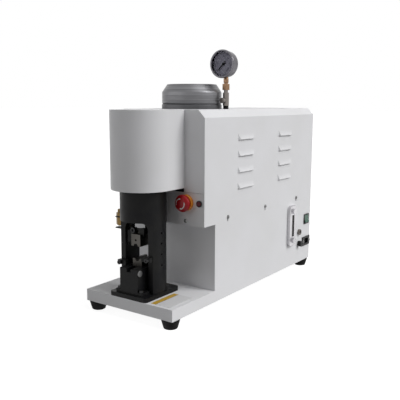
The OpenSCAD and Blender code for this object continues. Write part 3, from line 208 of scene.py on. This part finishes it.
def noise(finish, scale, stretch=(1, 1, 1), detail=2.0):
    """A cloudy pattern from 0 to 1, stretched along the axes by dividing its scale."""
    tree = finish.node_tree
    place = tree.nodes.new("ShaderNodeTexCoord")
    mapping = tree.nodes.new("ShaderNodeMapping")
    mapping.inputs["Scale"].default_value = [1 / s for s in stretch]
    cloud = tree.nodes.new("ShaderNodeTexNoise")
    cloud.inputs["Scale"].default_value = scale
    cloud.inputs["Detail"].default_value = detail
    tree.links.new(place.outputs["Object"], mapping.inputs["Vector"])
    tree.links.new(mapping.outputs["Vector"], cloud.inputs["Vector"])
    return cloud.outputs["Fac"]


def vary_color(finish, pattern, dark, light, low=0.35, high=0.65):
    tree = finish.node_tree
    ramp = tree.nodes.new("ShaderNodeValToRGB")
    ramp.color_ramp.elements[0].position = low
    ramp.color_ramp.elements[1].position = high
    ramp.color_ramp.elements[0].color = (*dark, 1)
    ramp.color_ramp.elements[1].color = (*light, 1)
    tree.links.new(pattern, ramp.inputs["Fac"])
    tree.links.new(ramp.outputs["Color"], tree.nodes["Principled BSDF"].inputs["Base Color"])
    return ramp


def vary_roughness(finish, pattern, smooth, rough):
    tree = finish.node_tree
    spread = tree.nodes.new("ShaderNodeMapRange")
    spread.inputs["From Min"].default_value = 0.3
    spread.inputs["From Max"].default_value = 0.7
    spread.inputs["To Min"].default_value = smooth
    spread.inputs["To Max"].default_value = rough
    tree.links.new(pattern, spread.inputs["Value"])
    tree.links.new(spread.outputs["Result"], tree.nodes["Principled BSDF"].inputs["Roughness"])


def add_bump(finish, pattern, depth, strength=1.0):
    tree = finish.node_tree
    shader = tree.nodes["Principled BSDF"]
    bump = tree.nodes.new("ShaderNodeBump")
    bump.inputs["Distance"].default_value = depth
    bump.inputs["Strength"].default_value = strength
    tree.links.new(pattern, bump.inputs["Height"])
    if shader.inputs["Normal"].is_linked:
        tree.links.new(shader.inputs["Normal"].links[0].from_socket, bump.inputs["Normal"])
    tree.links.new(bump.outputs["Normal"], shader.inputs["Normal"])


# %% [markdown]
# The sheet metal is powder coated: an even, satin off-white with the faint orange peel that the
# powder leaves when it melts. Each coat varies by a percent or two where it lies thicker. The
# head cover and the button panel are the same white powder, drawn one shade greyer as painted shade.

# %% Powder coat
def powder_coat(name, tone):
    coat = new_finish(name, (tone, tone, tone * 1.02), 0.42, specular=0.35)
    vary_color(coat, noise(coat, 7, detail=3), (tone * 0.975,) * 2 + (tone * 0.99,),
               (tone * 1.01, tone * 1.01, tone * 1.035))
    vary_roughness(coat, noise(coat, 40, detail=4), 0.36, 0.5)
    add_bump(coat, noise(coat, 620, detail=1), 0.00006)
    return coat


white_coat = powder_coat("white powder coat", 0.78)
# Painted shade: the same white powder one shade darker, for the head cover and the button panel.
shaded_white_coat = powder_coat("white powder coat with painted shade", 0.74)
print("coats", white_coat.name, shaded_white_coat.name)


# %% [markdown]
# Steel is blackened on the press column and its tools, hard-chromed on the ram, ground bright on
# the dies and plain on the screws. Ground and turned faces carry fine lines, made by stretched
# noise, and blackened steel shows rubbed, slightly browner clouds.

# %% Metals
def black_steel():
    steel = new_finish("blackened steel", (0.006, 0.006, 0.007), 0.4, metallic=0.0, specular=0.12)
    vary_color(steel, noise(steel, 22, detail=5), (0.004, 0.004, 0.005), (0.009, 0.009, 0.0085))
    vary_roughness(steel, noise(steel, 60, detail=5), 0.32, 0.5)
    add_bump(steel, noise(steel, 900, stretch=(1, 1, 12), detail=2), 0.00003)
    return steel


def bright_steel(name, color, roughness, stretch, scale=1500, metallic=1.0):
    steel = new_finish(name, color, roughness, metallic=metallic)
    lines = noise(steel, scale, stretch=stretch, detail=3)
    darker = tuple(c * 0.8 for c in color)
    vary_color(steel, noise(steel, 35, detail=5), darker, color)
    vary_roughness(steel, lines, roughness * 0.75, roughness * 1.35)
    add_bump(steel, lines, 0.00002)
    return steel


blackened = black_steel()
ground = bright_steel("ground tool steel", (0.075, 0.071, 0.065), 0.32, (40, 1, 1))
chromed = bright_steel("hard chrome", (0.2, 0.2, 0.205), 0.12, (1, 1, 60))
screw_steel = bright_steel("screw steel", (0.16, 0.16, 0.16), 0.36, (1, 1, 1), scale=700)
oiled_steel = bright_steel("oiled screw steel", (0.035, 0.035, 0.036), 0.34, (1, 1, 1), scale=700)
zinc = bright_steel("zinc plate", (0.42, 0.42, 0.43), 0.4, (1, 1, 1), scale=90)
nickel = bright_steel("satin nickel", (0.22, 0.2, 0.185), 0.3, (1, 1, 30))
bright_nickel = bright_steel("bright nickel", (0.62, 0.61, 0.63), 0.22, (1, 1, 30))
gauge_steel = bright_steel("gauge steel", (0.15, 0.146, 0.16), 0.24, (1, 1, 1), scale=300)
bronze = bright_steel("gauge bronze", (0.27, 0.165, 0.1), 0.32, (1, 1, 25))
sensor_brass = bright_steel("sensor brass", (0.17, 0.115, 0.05), 0.34, (1, 1, 25))
turned = bright_steel("turned grey aluminium", (0.2, 0.2, 0.21), 0.36, (400, 400, 1), scale=2600,
                      metallic=0.75)
vary_color(turned, noise(turned, 260, stretch=(400, 400, 1), detail=2), (0.11, 0.11, 0.115),
           (0.23, 0.23, 0.24))
turned_dark = bright_steel("turned dark ring", (0.1, 0.1, 0.105), 0.42, (400, 400, 1), scale=2600)
motor_paint = new_finish("motor paint", (0.05, 0.055, 0.06), 0.5)
add_bump(motor_paint, noise(motor_paint, 500), 0.0001)
print("metals", len([m for m in bpy.data.materials if m.use_nodes]))


# %% [markdown]
# The rest is rubber, plastic, card and glass. Moulded plastic has a soft sheen and a very fine
# grain, rubber is duller and coarser, and a clear piece is mostly transmission with a little tint.

# %% Rubber, plastic and glass
def moulded(name, color, roughness, grain=0.00002, scale=900, specular=0.5):
    plastic = new_finish(name, color, roughness, specular=specular)
    vary_roughness(plastic, noise(plastic, 80, detail=4), roughness * 0.85, roughness * 1.2)
    add_bump(plastic, noise(plastic, scale, detail=1), grain)
    return plastic


def clear(name, color, roughness, bending):
    glass = new_finish(name, color, roughness)
    glass.node_tree.nodes["Principled BSDF"].inputs["Transmission Weight"].default_value = 1
    glass.node_tree.nodes["Principled BSDF"].inputs["IOR"].default_value = bending
    return glass


rubber = moulded("black rubber", (0.004, 0.004, 0.004), 0.7, 0.00008, 500, specular=0.15)
black_plastic = moulded("black plastic", (0.006, 0.006, 0.0065), 0.42, specular=0.25)
red_plastic = moulded("red plastic", (0.3, 0.005, 0.009), 0.28, specular=0.2)
dark_red = moulded("dark red plastic", (0.1, 0.003, 0.008), 0.25, specular=0.2)
yellow_plastic = moulded("yellow plastic", (0.75, 0.24, 0.01), 0.32)
green_plastic = moulded("green plastic", (0.007, 0.085, 0.048), 0.22)
# Painted shade: the off-white dial is drawn dark grey-violet for the shade inside the gauge case and
# under its glass.
shaded_dial = moulded("dial face with painted shade", (0.125, 0.113, 0.145), 0.6)
ink = moulded("black ink", (0.002, 0.002, 0.002), 0.6, specular=0.1)
white_ink = moulded("white ink", (0.75, 0.72, 0.7), 0.45)
gauge_glass = clear("gauge glass", (0.85, 0.87, 0.88), 0.02, bending=1.1)
# Dark oil and painted shade: the tube is drawn nearly black partly for the oil and partly for the
# shadow in the level gauge's slot.
oil_and_slot_shade = moulded("dark oil and painted slot shade", (0.02, 0.016, 0.018), 0.08)
print("finishes", len(bpy.data.materials))


# %% [markdown]
# A real edge is never quite sharp: sheet metal is bent round a small radius, and machined steel
# has its edges broken. A CAD solid has hard edges, so each visible one is copied, its loose
# triangles are merged into whole faces, and a Bevel modifier rounds the edges by the radius that
# such a piece has. The copy then stands for the solid.

# %% Rounded copies of the solids
fine_angle, edge_angle = math.radians(0.5), math.radians(32)
same_point = 2e-6


def own_mesh(node):
    """A node's solid as one closed mesh with whole flat faces."""
    shell = bmesh.new()
    shell.from_mesh(solids[node].data)
    bmesh.ops.remove_doubles(shell, verts=shell.verts, dist=same_point)
    bmesh.ops.dissolve_limit(shell, angle_limit=fine_angle, verts=shell.verts, edges=shell.edges)
    mesh = bpy.data.meshes.new(node + "_rounded")
    shell.to_mesh(mesh)
    shell.free()
    return mesh


def body_of(node):
    return solids[node]["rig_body"]


def place_piece(name, mesh, finish, nodes):
    """Adds a finished mesh as a piece that stands for one or more solids."""
    mesh.materials.clear()
    mesh.materials.append(finish)
    piece = bpy.data.objects.new(name, mesh)
    bpy.context.scene.collection.objects.link(piece)
    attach(piece, body_of(nodes[0]))
    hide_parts(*nodes)
    return piece


def even_shading(piece):
    """Lets the large faces of a smooth piece look flat, so that only its rounded edges shade over."""
    weights = piece.modifiers.new("even shading", "WEIGHTED_NORMAL")
    weights.weight = 100
    weights.keep_sharp = True


def round_edges(node, finish, radius, steps=2):
    mesh = own_mesh(node)
    mesh.shade_smooth()
    piece = place_piece(node + "_rounded", mesh, finish, [node])
    bevel = piece.modifiers.new("broken edges", "BEVEL")
    bevel.width = radius
    bevel.segments = steps
    bevel.limit_method = "ANGLE"
    bevel.angle_limit = edge_angle
    even_shading(piece)
    return piece


rounded = {
    "base_plate": (white_coat, 1.2), "lower_cabinet": (white_coat, 0.8),
    "housing_cover": (white_coat, 0.5), "head_cover": (shaded_white_coat, 0.8),
    "rear_panel": (white_coat, 0.6), "front_panel": (white_coat, 0.6),
    "button_panel": (shaded_white_coat, 0.6), "column": (blackened, 0.8),
    "tool_holder": (blackened, 0.6), "limit_arm": (blackened, 0.4),
    "die_block": (blackened, 0.8), "guard_clips": (blackened, 0.8),
    "sensor_bracket": (blackened, 0.4), "upper_die": (ground, 0.4),
    "lower_die": (ground, 0.4), "ram": (chromed, 0.5), "block_side_screw": (screw_steel, 0.6),
    "socket_screws": (oiled_steel, 0.3), "holder_screw": (oiled_steel, 0.5),
    "cap_ring": (turned_dark, 0.4), "valve_block": (turned, 0.8), "level_bolts": (bright_nickel, 0.8),
    "level_frame": (bright_nickel, 1.5), "switch_frame": (black_plastic, 0.6),
    "power_inlet": (black_plastic, 0.6), "fuse_holder": (black_plastic, 0.6),
    "pedal_socket": (nickel, 0.4), "gauge_union": (bronze, 0.5), "gauge_valve": (nickel, 0.5),
    "gauge_valve_knob": (nickel, 0.5), "estop_collar": (yellow_plastic, 0.2),
    "rocker": (green_plastic, 0.5), "push_button_bezel": (black_plastic, 0.5),
    "push_button": (dark_red, 0.8), "sensor_nut": (sensor_brass, 0.5),
    "limit_sensor": (sensor_brass, 0.5), "gauge_grommet": (rubber, 0.8),
}
for node, (finish, radius) in rounded.items():
    round_edges(node, finish, radius * mm)
print("rounded", len(rounded), "solids")


# %% [markdown]
# Round pieces are turned on a lathe: a profile of radius and height, in millimetres, is swept
# once round. A profile that starts and ends at radius 0 gives a closed solid. The mesh is then
# carried to its place, which is written as the CAD model writes it: X from the middle plane, Y
# from the base plate's front edge and Z from the floor.

# %% Helpers for turned pieces
crease = math.radians(34)
cad_shift = Vector((-5, -339.25, 0))
facing_up = Matrix.Identity(3)
facing_front = Matrix(((1, 0, 0), (0, 0, -1), (0, 1, 0)))
facing_back = Matrix(((-1, 0, 0), (0, 0, 1), (0, 1, 0)))
facing_right = Matrix(((0, 0, 1), (1, 0, 0), (0, 1, 0)))
facing_left = Matrix(((0, 0, -1), (-1, 0, 0), (0, 1, 0)))


def at(x, y, z):
    return (Vector((x, y, z)) + cad_shift) * mm


def lathe(name, profile, steps=96):
    shell = bmesh.new()
    rings = []
    for radius, height in profile:
        turns = 1 if radius == 0 else steps
        rings.append([shell.verts.new((radius * mm * math.cos(math.tau * i / steps),
                                       radius * mm * math.sin(math.tau * i / steps), height * mm))
                      for i in range(turns)])
    for low, high in zip(rings, rings[1:]):
        for i in range(steps):
            j = (i + 1) % steps
            corners = [low[i % len(low)], low[j % len(low)], high[j % len(high)], high[i % len(high)]]
            shell.faces.new(list(dict.fromkeys(corners)))
    bmesh.ops.recalc_face_normals(shell, faces=shell.faces)
    mesh = bpy.data.meshes.new(name)
    shell.to_mesh(mesh)
    shell.free()
    mesh.shade_smooth()
    mesh.set_sharp_from_angle(angle=crease)
    return mesh


def carry(mesh, place, facing):
    mesh.transform(Matrix.Translation(place) @ facing.to_4x4())
    return mesh


def add_trim(name, mesh, finish, body):
    """A finished mesh that goes with a solid's body without standing for the solid."""
    mesh.materials.clear()
    mesh.materials.append(finish)
    piece = bpy.data.objects.new(name, mesh)
    bpy.context.scene.collection.objects.link(piece)
    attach(piece, body)
    return piece


print("a disc has", len(lathe("test disc", [(0, 0), (1, 0), (0, 1)]).polygons), "faces")


# %% [markdown]
# The rubber feet are cones with a rounded lower edge and a hollow for the screw. The cap on the
# motor is turned from grey aluminium: a straight side, a wide bevel and a shallow dish on top,
# with the fine steps that the turning tool left.

# %% Feet and motor cap
foot_profile = [(0, 22), (21.7, 22), (21.6, 20.5), (16.6, 2.6), (15.8, 0.9), (14.2, 0.0), (7, 0.0),
                (7, 10), (0, 10)]
base_half_width, base_depth, foot_inset = 130, 690, 19.5
feet = bmesh.new()
for foot_x in (foot_inset - base_half_width, base_half_width - foot_inset):
    for foot_y in (foot_inset, base_depth - foot_inset):
        feet.from_mesh(carry(lathe("foot", foot_profile), at(foot_x, foot_y, 0), facing_up))
feet_mesh = bpy.data.meshes.new("feet")
feet.to_mesh(feet_mesh)
feet.free()
feet_mesh.shade_smooth()
feet_mesh.set_sharp_from_angle(angle=crease)
place_piece("rubber_feet_rounded", feet_mesh, rubber, ["rubber_feet"])

cap_profile = [(0, 536.5), (57.5, 536.5), (58.5, 537.2), (59.5, 538.6), (61, 539), (62, 538.2),
               (73.4, 521.2), (74.2, 520), (74.4, 518.4), (74.4, 511.5), (74.1, 511.1), (74.1, 510.4),
               (74.4, 510), (74.4, 502.5), (74.1, 502.1), (74.1, 501.4), (74.4, 501), (74.4, 493),
               (73.8, 492), (69.5, 492), (69.5, 517), (57, 533), (0, 533)]
motor_y = 251
cap_mesh = carry(lathe("cap", cap_profile, 160), at(0, motor_y, 0), facing_up)
place_piece("motor_cap_turned", cap_mesh, turned, ["motor_cap"])
print("feet", len(feet_mesh.polygons), "cap", len(cap_mesh.polygons))


# %% [markdown]
# Whatever repeats is placed by one Geometry Nodes tree. It puts a copy of an object on every
# point of a mesh and turns each by the point's own rotation. The result is then turned into a
# plain mesh. Ticks, knurls, threads and screws are all made with it.

# %% Repeating tree
def make_repeat_tree():
    tree = bpy.data.node_groups.new("repeat on points", "GeometryNodeTree")
    face = tree.interface
    face.new_socket("Points", in_out="INPUT", socket_type="NodeSocketGeometry")
    face.new_socket("Copy", in_out="INPUT", socket_type="NodeSocketObject")
    face.new_socket("Finish", in_out="INPUT", socket_type="NodeSocketMaterial")
    face.new_socket("Result", in_out="OUTPUT", socket_type="NodeSocketGeometry")
    entry = tree.nodes.new("NodeGroupInput")
    result = tree.nodes.new("NodeGroupOutput")
    info = tree.nodes.new("GeometryNodeObjectInfo")
    turn = tree.nodes.new("GeometryNodeInputNamedAttribute")
    turn.data_type = "FLOAT_VECTOR"
    turn.inputs["Name"].default_value = "turn"
    spread = tree.nodes.new("GeometryNodeInstanceOnPoints")
    real = tree.nodes.new("GeometryNodeRealizeInstances")
    paint = tree.nodes.new("GeometryNodeSetMaterial")
    tree.links.new(entry.outputs["Points"], spread.inputs["Points"])
    tree.links.new(entry.outputs["Copy"], info.inputs["Object"])
    tree.links.new(info.outputs["Geometry"], spread.inputs["Instance"])
    tree.links.new(turn.outputs["Attribute"], spread.inputs["Rotation"])
    tree.links.new(spread.outputs["Instances"], real.inputs["Geometry"])
    tree.links.new(real.outputs["Geometry"], paint.inputs["Geometry"])
    tree.links.new(entry.outputs["Finish"], paint.inputs["Material"])
    tree.links.new(paint.outputs["Geometry"], result.inputs["Result"])
    return tree


repeat_tree = make_repeat_tree()


def repeat(name, copy_mesh, places, turns, finish):
    """One plain mesh with a copy of copy_mesh at each place, turned by Euler angles."""
    points = bpy.data.meshes.new(name + " points")
    points.from_pydata([tuple(p) for p in places], [], [])
    turn = points.attributes.new("turn", "FLOAT_VECTOR", "POINT")
    for value, angles in zip(turn.data, turns):
        value.vector = angles
    copy_object = bpy.data.objects.new(name + " copy", copy_mesh)
    holder = bpy.data.objects.new(name + " holder", points)
    for o in (copy_object, holder):
        bpy.context.scene.collection.objects.link(o)
    rule = holder.modifiers.new("repeat", "NODES")
    rule.node_group = repeat_tree
    sockets = {s.name: s.identifier for s in repeat_tree.interface.items_tree}
    rule[sockets["Copy"]] = copy_object
    rule[sockets["Finish"]] = finish
    graph = bpy.context.evaluated_depsgraph_get()
    mesh = bpy.data.meshes.new_from_object(holder.evaluated_get(graph))
    mesh.name = name
    for o in (holder, copy_object):
        bpy.data.objects.remove(o)
    return mesh


def small_box(width, depth, height):
    """A box that stands on its own origin."""
    shell = bmesh.new()
    bmesh.ops.create_cube(shell, size=1)
    bmesh.ops.scale(shell, vec=(width * mm, depth * mm, height * mm), verts=shell.verts)
    bmesh.ops.translate(shell, vec=(0, 0, height * mm / 2), verts=shell.verts)
    mesh = bpy.data.meshes.new("small box")
    shell.to_mesh(mesh)
    shell.free()
    return mesh


print("repeating tree with", len(repeat_tree.nodes), "nodes")


# %% [markdown]
# The screws are pan-head screws with a cross recess. One is made by cutting a cross out of a
# turned head, and the tree sets it on each place where the CAD model has a screw. The places are
# read from the solids: each screw's long axis is its axis, and its head faces away from the middle.

# %% Pan-head screws
def cross_screw():
    head = lathe("pan head", [(0, -1), (4.6, -1), (4.75, 0.0), (4.7, 0.9), (4.2, 1.75), (3.2, 2.3),
                              (1.7, 2.5), (0, 2.5)], 40)
    screw = bpy.data.objects.new("screw", head)
    bpy.context.scene.collection.objects.link(screw)
    cross_length, cross_width, cross_height, cross_floor = 4.6, 1.0, 4, 1.0
    tools = []
    for width, depth in ((cross_length, cross_width), (cross_width, cross_length)):
        slot_mesh = small_box(width, depth, cross_height)
        slot_mesh.transform(Matrix.Translation((0, 0, cross_floor * mm)))
        tool = bpy.data.objects.new("cross", slot_mesh)
        bpy.context.scene.collection.objects.link(tool)
        cutter = screw.modifiers.new("cross", "BOOLEAN")
        cutter.object = tool
        cutter.operation = "DIFFERENCE"
        tools.append(tool)
    graph = bpy.context.evaluated_depsgraph_get()
    mesh = bpy.data.meshes.new_from_object(screw.evaluated_get(graph))
    for o in (screw, *tools):
        bpy.data.objects.remove(o)
    return mesh


def islands(node):
    """The lowest and highest corner of each separate solid in a node."""
    shell = bmesh.new()
    shell.from_mesh(solids[node].data)
    bmesh.ops.remove_doubles(shell, verts=shell.verts, dist=same_point)
    seen, found = set(), []
    for start in shell.verts:
        if start in seen:
            continue
        group, todo = [], [start]
        seen.add(start)
        while todo:
            vertex = todo.pop()
            group.append(vertex.co.copy())
            for edge in vertex.link_edges:
                other = edge.other_vert(vertex)
                if other not in seen:
                    seen.add(other)
                    todo.append(other)
        found.append([Vector([pick(v[k] for v in group) for k in range(3)]) for pick in (min, max)])
    shell.free()
    return found


screw_head = 2.5 * mm
places, turns = [], []
for low, high in islands("cover_screws"):
    middle, span = (low + high) / 2, high - low
    axis = max(range(2), key=lambda k: span[k])
    side = 1 if middle[axis] > 0 else -1
    place = middle.copy()
    place[axis] = (high[axis] if side > 0 else low[axis]) - side * screw_head
    places.append(place)
    facing = {(0, 1): facing_right, (0, -1): facing_left, (1, -1): facing_front,
              (1, 1): facing_back}[(axis, side)]
    turns.append(facing.to_euler())
screws = repeat("cover_screws_crossed", cross_screw(), places, turns, screw_steel)
screws.shade_smooth()
screws.set_sharp_from_angle(angle=crease)
place_piece("cover_screws_crossed", screws, screw_steel, ["cover_screws"])
print("screws", len(places))


# %% [markdown]
# The pressure gauge has a drawn case with a rolled bezel, a printed dial under its glass and a
# bronze neck. Its scale runs over 270 degrees from 0 to 60, with a long tick and a plain number
# at every ten and four short ticks between. The needle is its own piece, because it turns.

# %% Pressure gauge
gauge_middle = at(84, 284.25, 587)
case_profile = [(0, 0), (27, 0), (30, 0.6), (31.2, 2.2), (31.5, 4.5), (31.5, 20.6), (32.6, 21),
                (33.8, 21.8), (34, 23), (34, 25.6), (33.5, 27.2), (32.2, 28), (30.6, 27.8),
                (29.7, 26.9), (29.5, 25.5), (29.5, 16.6), (0, 16.6)]
case_mesh = carry(lathe("case", case_profile, 128), gauge_middle, facing_front)
place_piece("gauge_case_drawn", case_mesh, gauge_steel, ["gauge_case"])
neck_profile = [(0, 0), (5, 0), (5, 2.4), (6.1, 3.2), (6.25, 4), (6.25, 12), (5.6, 14), (5.6, 17.5),
                (0, 17.5)]
neck_mesh = carry(lathe("neck", neck_profile, 48), at(84, 278, 540), facing_up)
add_trim("gauge_neck", neck_mesh, bronze, "machine")

zero_angle, sweep, divisions, long_every, units_a_tick = math.radians(225), math.radians(270), 30, 5, 2
dial_face, long_radius, short_radius, number_radius, number_height = 18, 24.2, 25.2, 18.5, 5.2
ink_depth, number_relief = 0.12, 0.05
tick_places, tick_turns, long_places, long_turns = [], [], [], []
for step in range(divisions + 1):
    angle = zero_angle - sweep * step / divisions
    is_long = step % long_every == 0
    radius = long_radius if is_long else short_radius
    place = Vector((radius * math.cos(angle), radius * math.sin(angle), dial_face)) * mm
    (long_places if is_long else tick_places).append(place)
    (long_turns if is_long else tick_turns).append((0, 0, angle))
short_ticks = repeat("short ticks", small_box(2.0, 0.35, ink_depth), tick_places, tick_turns, ink)
long_ticks = repeat("long ticks", small_box(4.0, 0.6, ink_depth), long_places, long_turns, ink)
for name, ticks in (("gauge_short_ticks", short_ticks), ("gauge_long_ticks", long_ticks)):
    add_trim(name, carry(ticks, gauge_middle, facing_front), ink, "machine")


def flat_number(word, size, place):
    text = bpy.data.curves.new("number " + word, "FONT")
    text.body = word
    text.size = size * mm
    text.align_x = "CENTER"
    text.align_y = "CENTER"
    text.extrude = number_relief * mm
    holder = bpy.data.objects.new("number", text)
    bpy.context.scene.collection.objects.link(holder)
    graph = bpy.context.evaluated_depsgraph_get()
    mesh = bpy.data.meshes.new_from_object(holder.evaluated_get(graph))
    bpy.data.objects.remove(holder)
    mesh.transform(Matrix.Translation(place))
    return mesh


def needle_mesh(front):
    """A turned hub on its arbor, with a flat blade that gets narrower towards its tip."""
    blade_length, blade_width, blade_height, blade_forward, blade_down = 31, 3.2, 0.5, 7.5, 0.4
    tip_share = 0.5
    hub = lathe("hub", [(0, 4), (1, 4), (1, front - 0.7), (3.7, front - 0.7), (3.7, front - 0.2),
                        (3.3, front), (0, front)], 32)
    blade = small_box(blade_length, blade_width, blade_height)
    for corner in blade.vertices:
        if corner.co.x > 0:
            corner.co.y *= tip_share
    blade.transform(Matrix.Translation((blade_forward * mm, 0, (front - blade_down) * mm)))
    blade.transform(Matrix.Rotation(zero_angle, 4, "Z"))
    joined = bmesh.new()
    for part in (hub, blade):
        joined.from_mesh(part)
    mesh = bpy.data.meshes.new("needle")
    joined.to_mesh(mesh)
    joined.free()
    return mesh


needle_low, needle_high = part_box("gauge_pointer")
needle_front = (gauge_middle.y - needle_low.y) / mm
place_piece("gauge_needle_turned", carry(needle_mesh(needle_front), gauge_middle, facing_front), ink,
            ["gauge_pointer"])
numbers = bmesh.new()
for step in range(0, divisions + 1, long_every):
    angle = zero_angle - sweep * step / divisions
    place = Vector((number_radius * math.cos(angle), number_radius * math.sin(angle),
                    dial_face + ink_depth / 2)) * mm
    numbers.from_mesh(flat_number(str(step * units_a_tick), number_height, place))
numbers_mesh = bpy.data.meshes.new("numbers")
numbers.to_mesh(numbers_mesh)
numbers.free()
add_trim("gauge_numbers", carry(numbers_mesh, gauge_middle, facing_front), ink, "machine")
print("ticks", len(tick_places) + len(long_places), "case faces", len(case_mesh.polygons))


# %% [markdown]
# The emergency stop has a domed red head with two white arrows that show which way it turns to
# let go. The arrows are thin shells that lie on the dome.

# %% Emergency stop
stop_place = at(80, 121, 266)
dome_profile = [(20, 18.6), (19.6, 19.9), (18.4, 21.4), (15.5, 23.6), (12, 25.3), (8, 26.8),
                (4, 27.7), (0, 28)]
head_profile = [(0, 5.2), (5, 5.2), (5, 13.2), (18.8, 13.2), (19.7, 13.8), (20, 14.8), *dome_profile]
head_mesh = carry(lathe("stop head", head_profile), stop_place, facing_front)
place_piece("estop_head_domed", head_mesh, red_plastic, ["estop_head"])


def dome_height(radius):
    for (outer, low), (inner, high) in zip(dome_profile, dome_profile[1:]):
        if inner <= radius <= outer:
            return low + (high - low) * (outer - radius) / (outer - inner)
    return dome_profile[0][1]


def dome_point(radius, angle, lift):
    return Vector((radius * math.cos(angle), radius * math.sin(angle), dome_height(radius) + lift)) * mm


def turning_arrows(name, radius, width, share):
    """Two bent arrows round the middle, each over a share of the circle."""
    steps, point_steps, point_spread, start_angle, lift = 24, 5, 2.4, 0.35, 0.12
    shell = bmesh.new()
    for half in (0, math.pi):
        rows = []
        for i in range(steps + 1):
            angle = half + start_angle - math.tau * share * i / steps
            steps_left = steps - i
            in_point = steps_left <= point_steps
            reach = width * point_spread * steps_left / point_steps if in_point else width
            rows.append([shell.verts.new(dome_point(radius + side * reach / 2, angle, lift))
                         for side in (-1, 0, 1)])
        for low, high in zip(rows, rows[1:]):
            for k in (0, 1):
                shell.faces.new((low[k], low[k + 1], high[k + 1], high[k]))
    bmesh.ops.remove_doubles(shell, verts=shell.verts, dist=1e-6)
    bmesh.ops.recalc_face_normals(shell, faces=shell.faces)
    mesh = bpy.data.meshes.new(name)
    shell.to_mesh(mesh)
    shell.free()
    return mesh


arrows = add_trim("estop_arrows", carry(turning_arrows("arrows", 11.5, 1.9, 0.33), stop_place,
                                        facing_front), white_ink, "stop_head")
shell_rule = arrows.modifiers.new("thin shell", "SOLIDIFY")
shell_rule.thickness = 0.1 * mm
shell_rule.offset = -1
print("stop head", len(head_mesh.polygons), "faces")


# %% [markdown]
# Small repeating details: the knurls of the fuse cap, and the thread that shows on the sensor
# above its nut.

# %% Knurls and thread
fuse_place, fuse_radius, knurl_count, knurl_foot = at(130, 614, 80), 8.0, 30, 4
knurl_places, knurl_turns = [], []
for i in range(knurl_count):
    angle = math.tau * i / knurl_count
    knurl_places.append(Vector((fuse_radius * math.cos(angle), fuse_radius * math.sin(angle),
                                knurl_foot)) * mm)
    knurl_turns.append((0, 0, angle))
knurls = repeat("fuse knurls", small_box(0.6, 0.9, 6.5), knurl_places, knurl_turns, black_plastic)
add_trim("fuse_knurls", carry(knurls, fuse_place, facing_right), black_plastic, "machine")

sensor_low, sensor_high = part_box("limit_sensor")
nut_low, nut_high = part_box("sensor_nut")
sensor_middle = (nut_low + nut_high) / 2
thread_profile = [(5.8, -0.4), (6.25, 0), (5.8, 0.4), (5.6, 0), (5.8, -0.4)]
thread_margin, thread_pitch = 0.6 * mm, 1.0 * mm
thread_places = []
thread_height = nut_high.z + thread_margin
while thread_height < sensor_high.z - thread_margin:
    thread_places.append(Vector((sensor_middle.x, sensor_middle.y, thread_height)))
    thread_height += thread_pitch
thread = repeat("sensor thread", lathe("turn", thread_profile, 40), thread_places,
                [(0, 0, 0)] * len(thread_places), sensor_brass)
add_trim("sensor_thread", thread, sensor_brass, "machine")
print("knurls", len(knurl_places), "thread turns", len(thread_places))


# %% [markdown]
# The label on the base is a bare white plate with a yellow band along its left edge and a thin
# dark line beside the band. Both are drawn by the plate's own X position.

# %% Label plate
def label_finish():
    plate = moulded("label print", (0.7, 0.7, 0.7), 0.4)
    tree = plate.node_tree
    place = tree.nodes.new("ShaderNodeTexCoord")
    axes = tree.nodes.new("ShaderNodeSeparateXYZ")
    across = tree.nodes.new("ShaderNodeMapRange")
    label_low, label_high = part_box("label_plate")
    across.inputs["From Min"].default_value = label_low.x
    across.inputs["From Max"].default_value = label_high.x
    tree.links.new(place.outputs["Object"], axes.inputs["Vector"])
    tree.links.new(axes.outputs["X"], across.inputs["Value"])
    ramp = vary_color(plate, across.outputs["Result"], (0.66, 0.65, 0.64), (0.55, 0.34, 0.04), 0, 0.03)
    ramp.color_ramp.interpolation = "CONSTANT"
    for position, color in ((0.26, (0.05, 0.05, 0.05, 1)), (0.275, (0.68, 0.68, 0.69, 1))):
        ramp.color_ramp.elements.new(position).color = color
    return plate


round_edges("label_plate", label_finish(), 0.2 * mm, steps=1)


# %% [markdown]
# The solids that keep their own mesh only need a finish, which goes into their material slots.

# %% Finishes on the other solids
plain = {
    "foot_screws": zinc, "deck_plate": zinc, "flange_bolts": zinc, "oil_tank": zinc,
    "oil_pipes": zinc, "cylinder_barrel": ground, "cylinder_end_cap": ground, "piston": ground,
    "motor_rotor": ground, "motor_bearings": ground, "motor_housing": motor_paint, "pump": turned,
    "gauge_dial": shaded_dial, "gauge_glass": gauge_glass, "estop_plunger": red_plastic,
    "level_tube": oil_and_slot_shade,
}
for node, finish in plain.items():
    for index in range(len(solids[node].data.materials)):
        solids[node].data.materials[index] = finish
print("plain", len(plain), "solids")
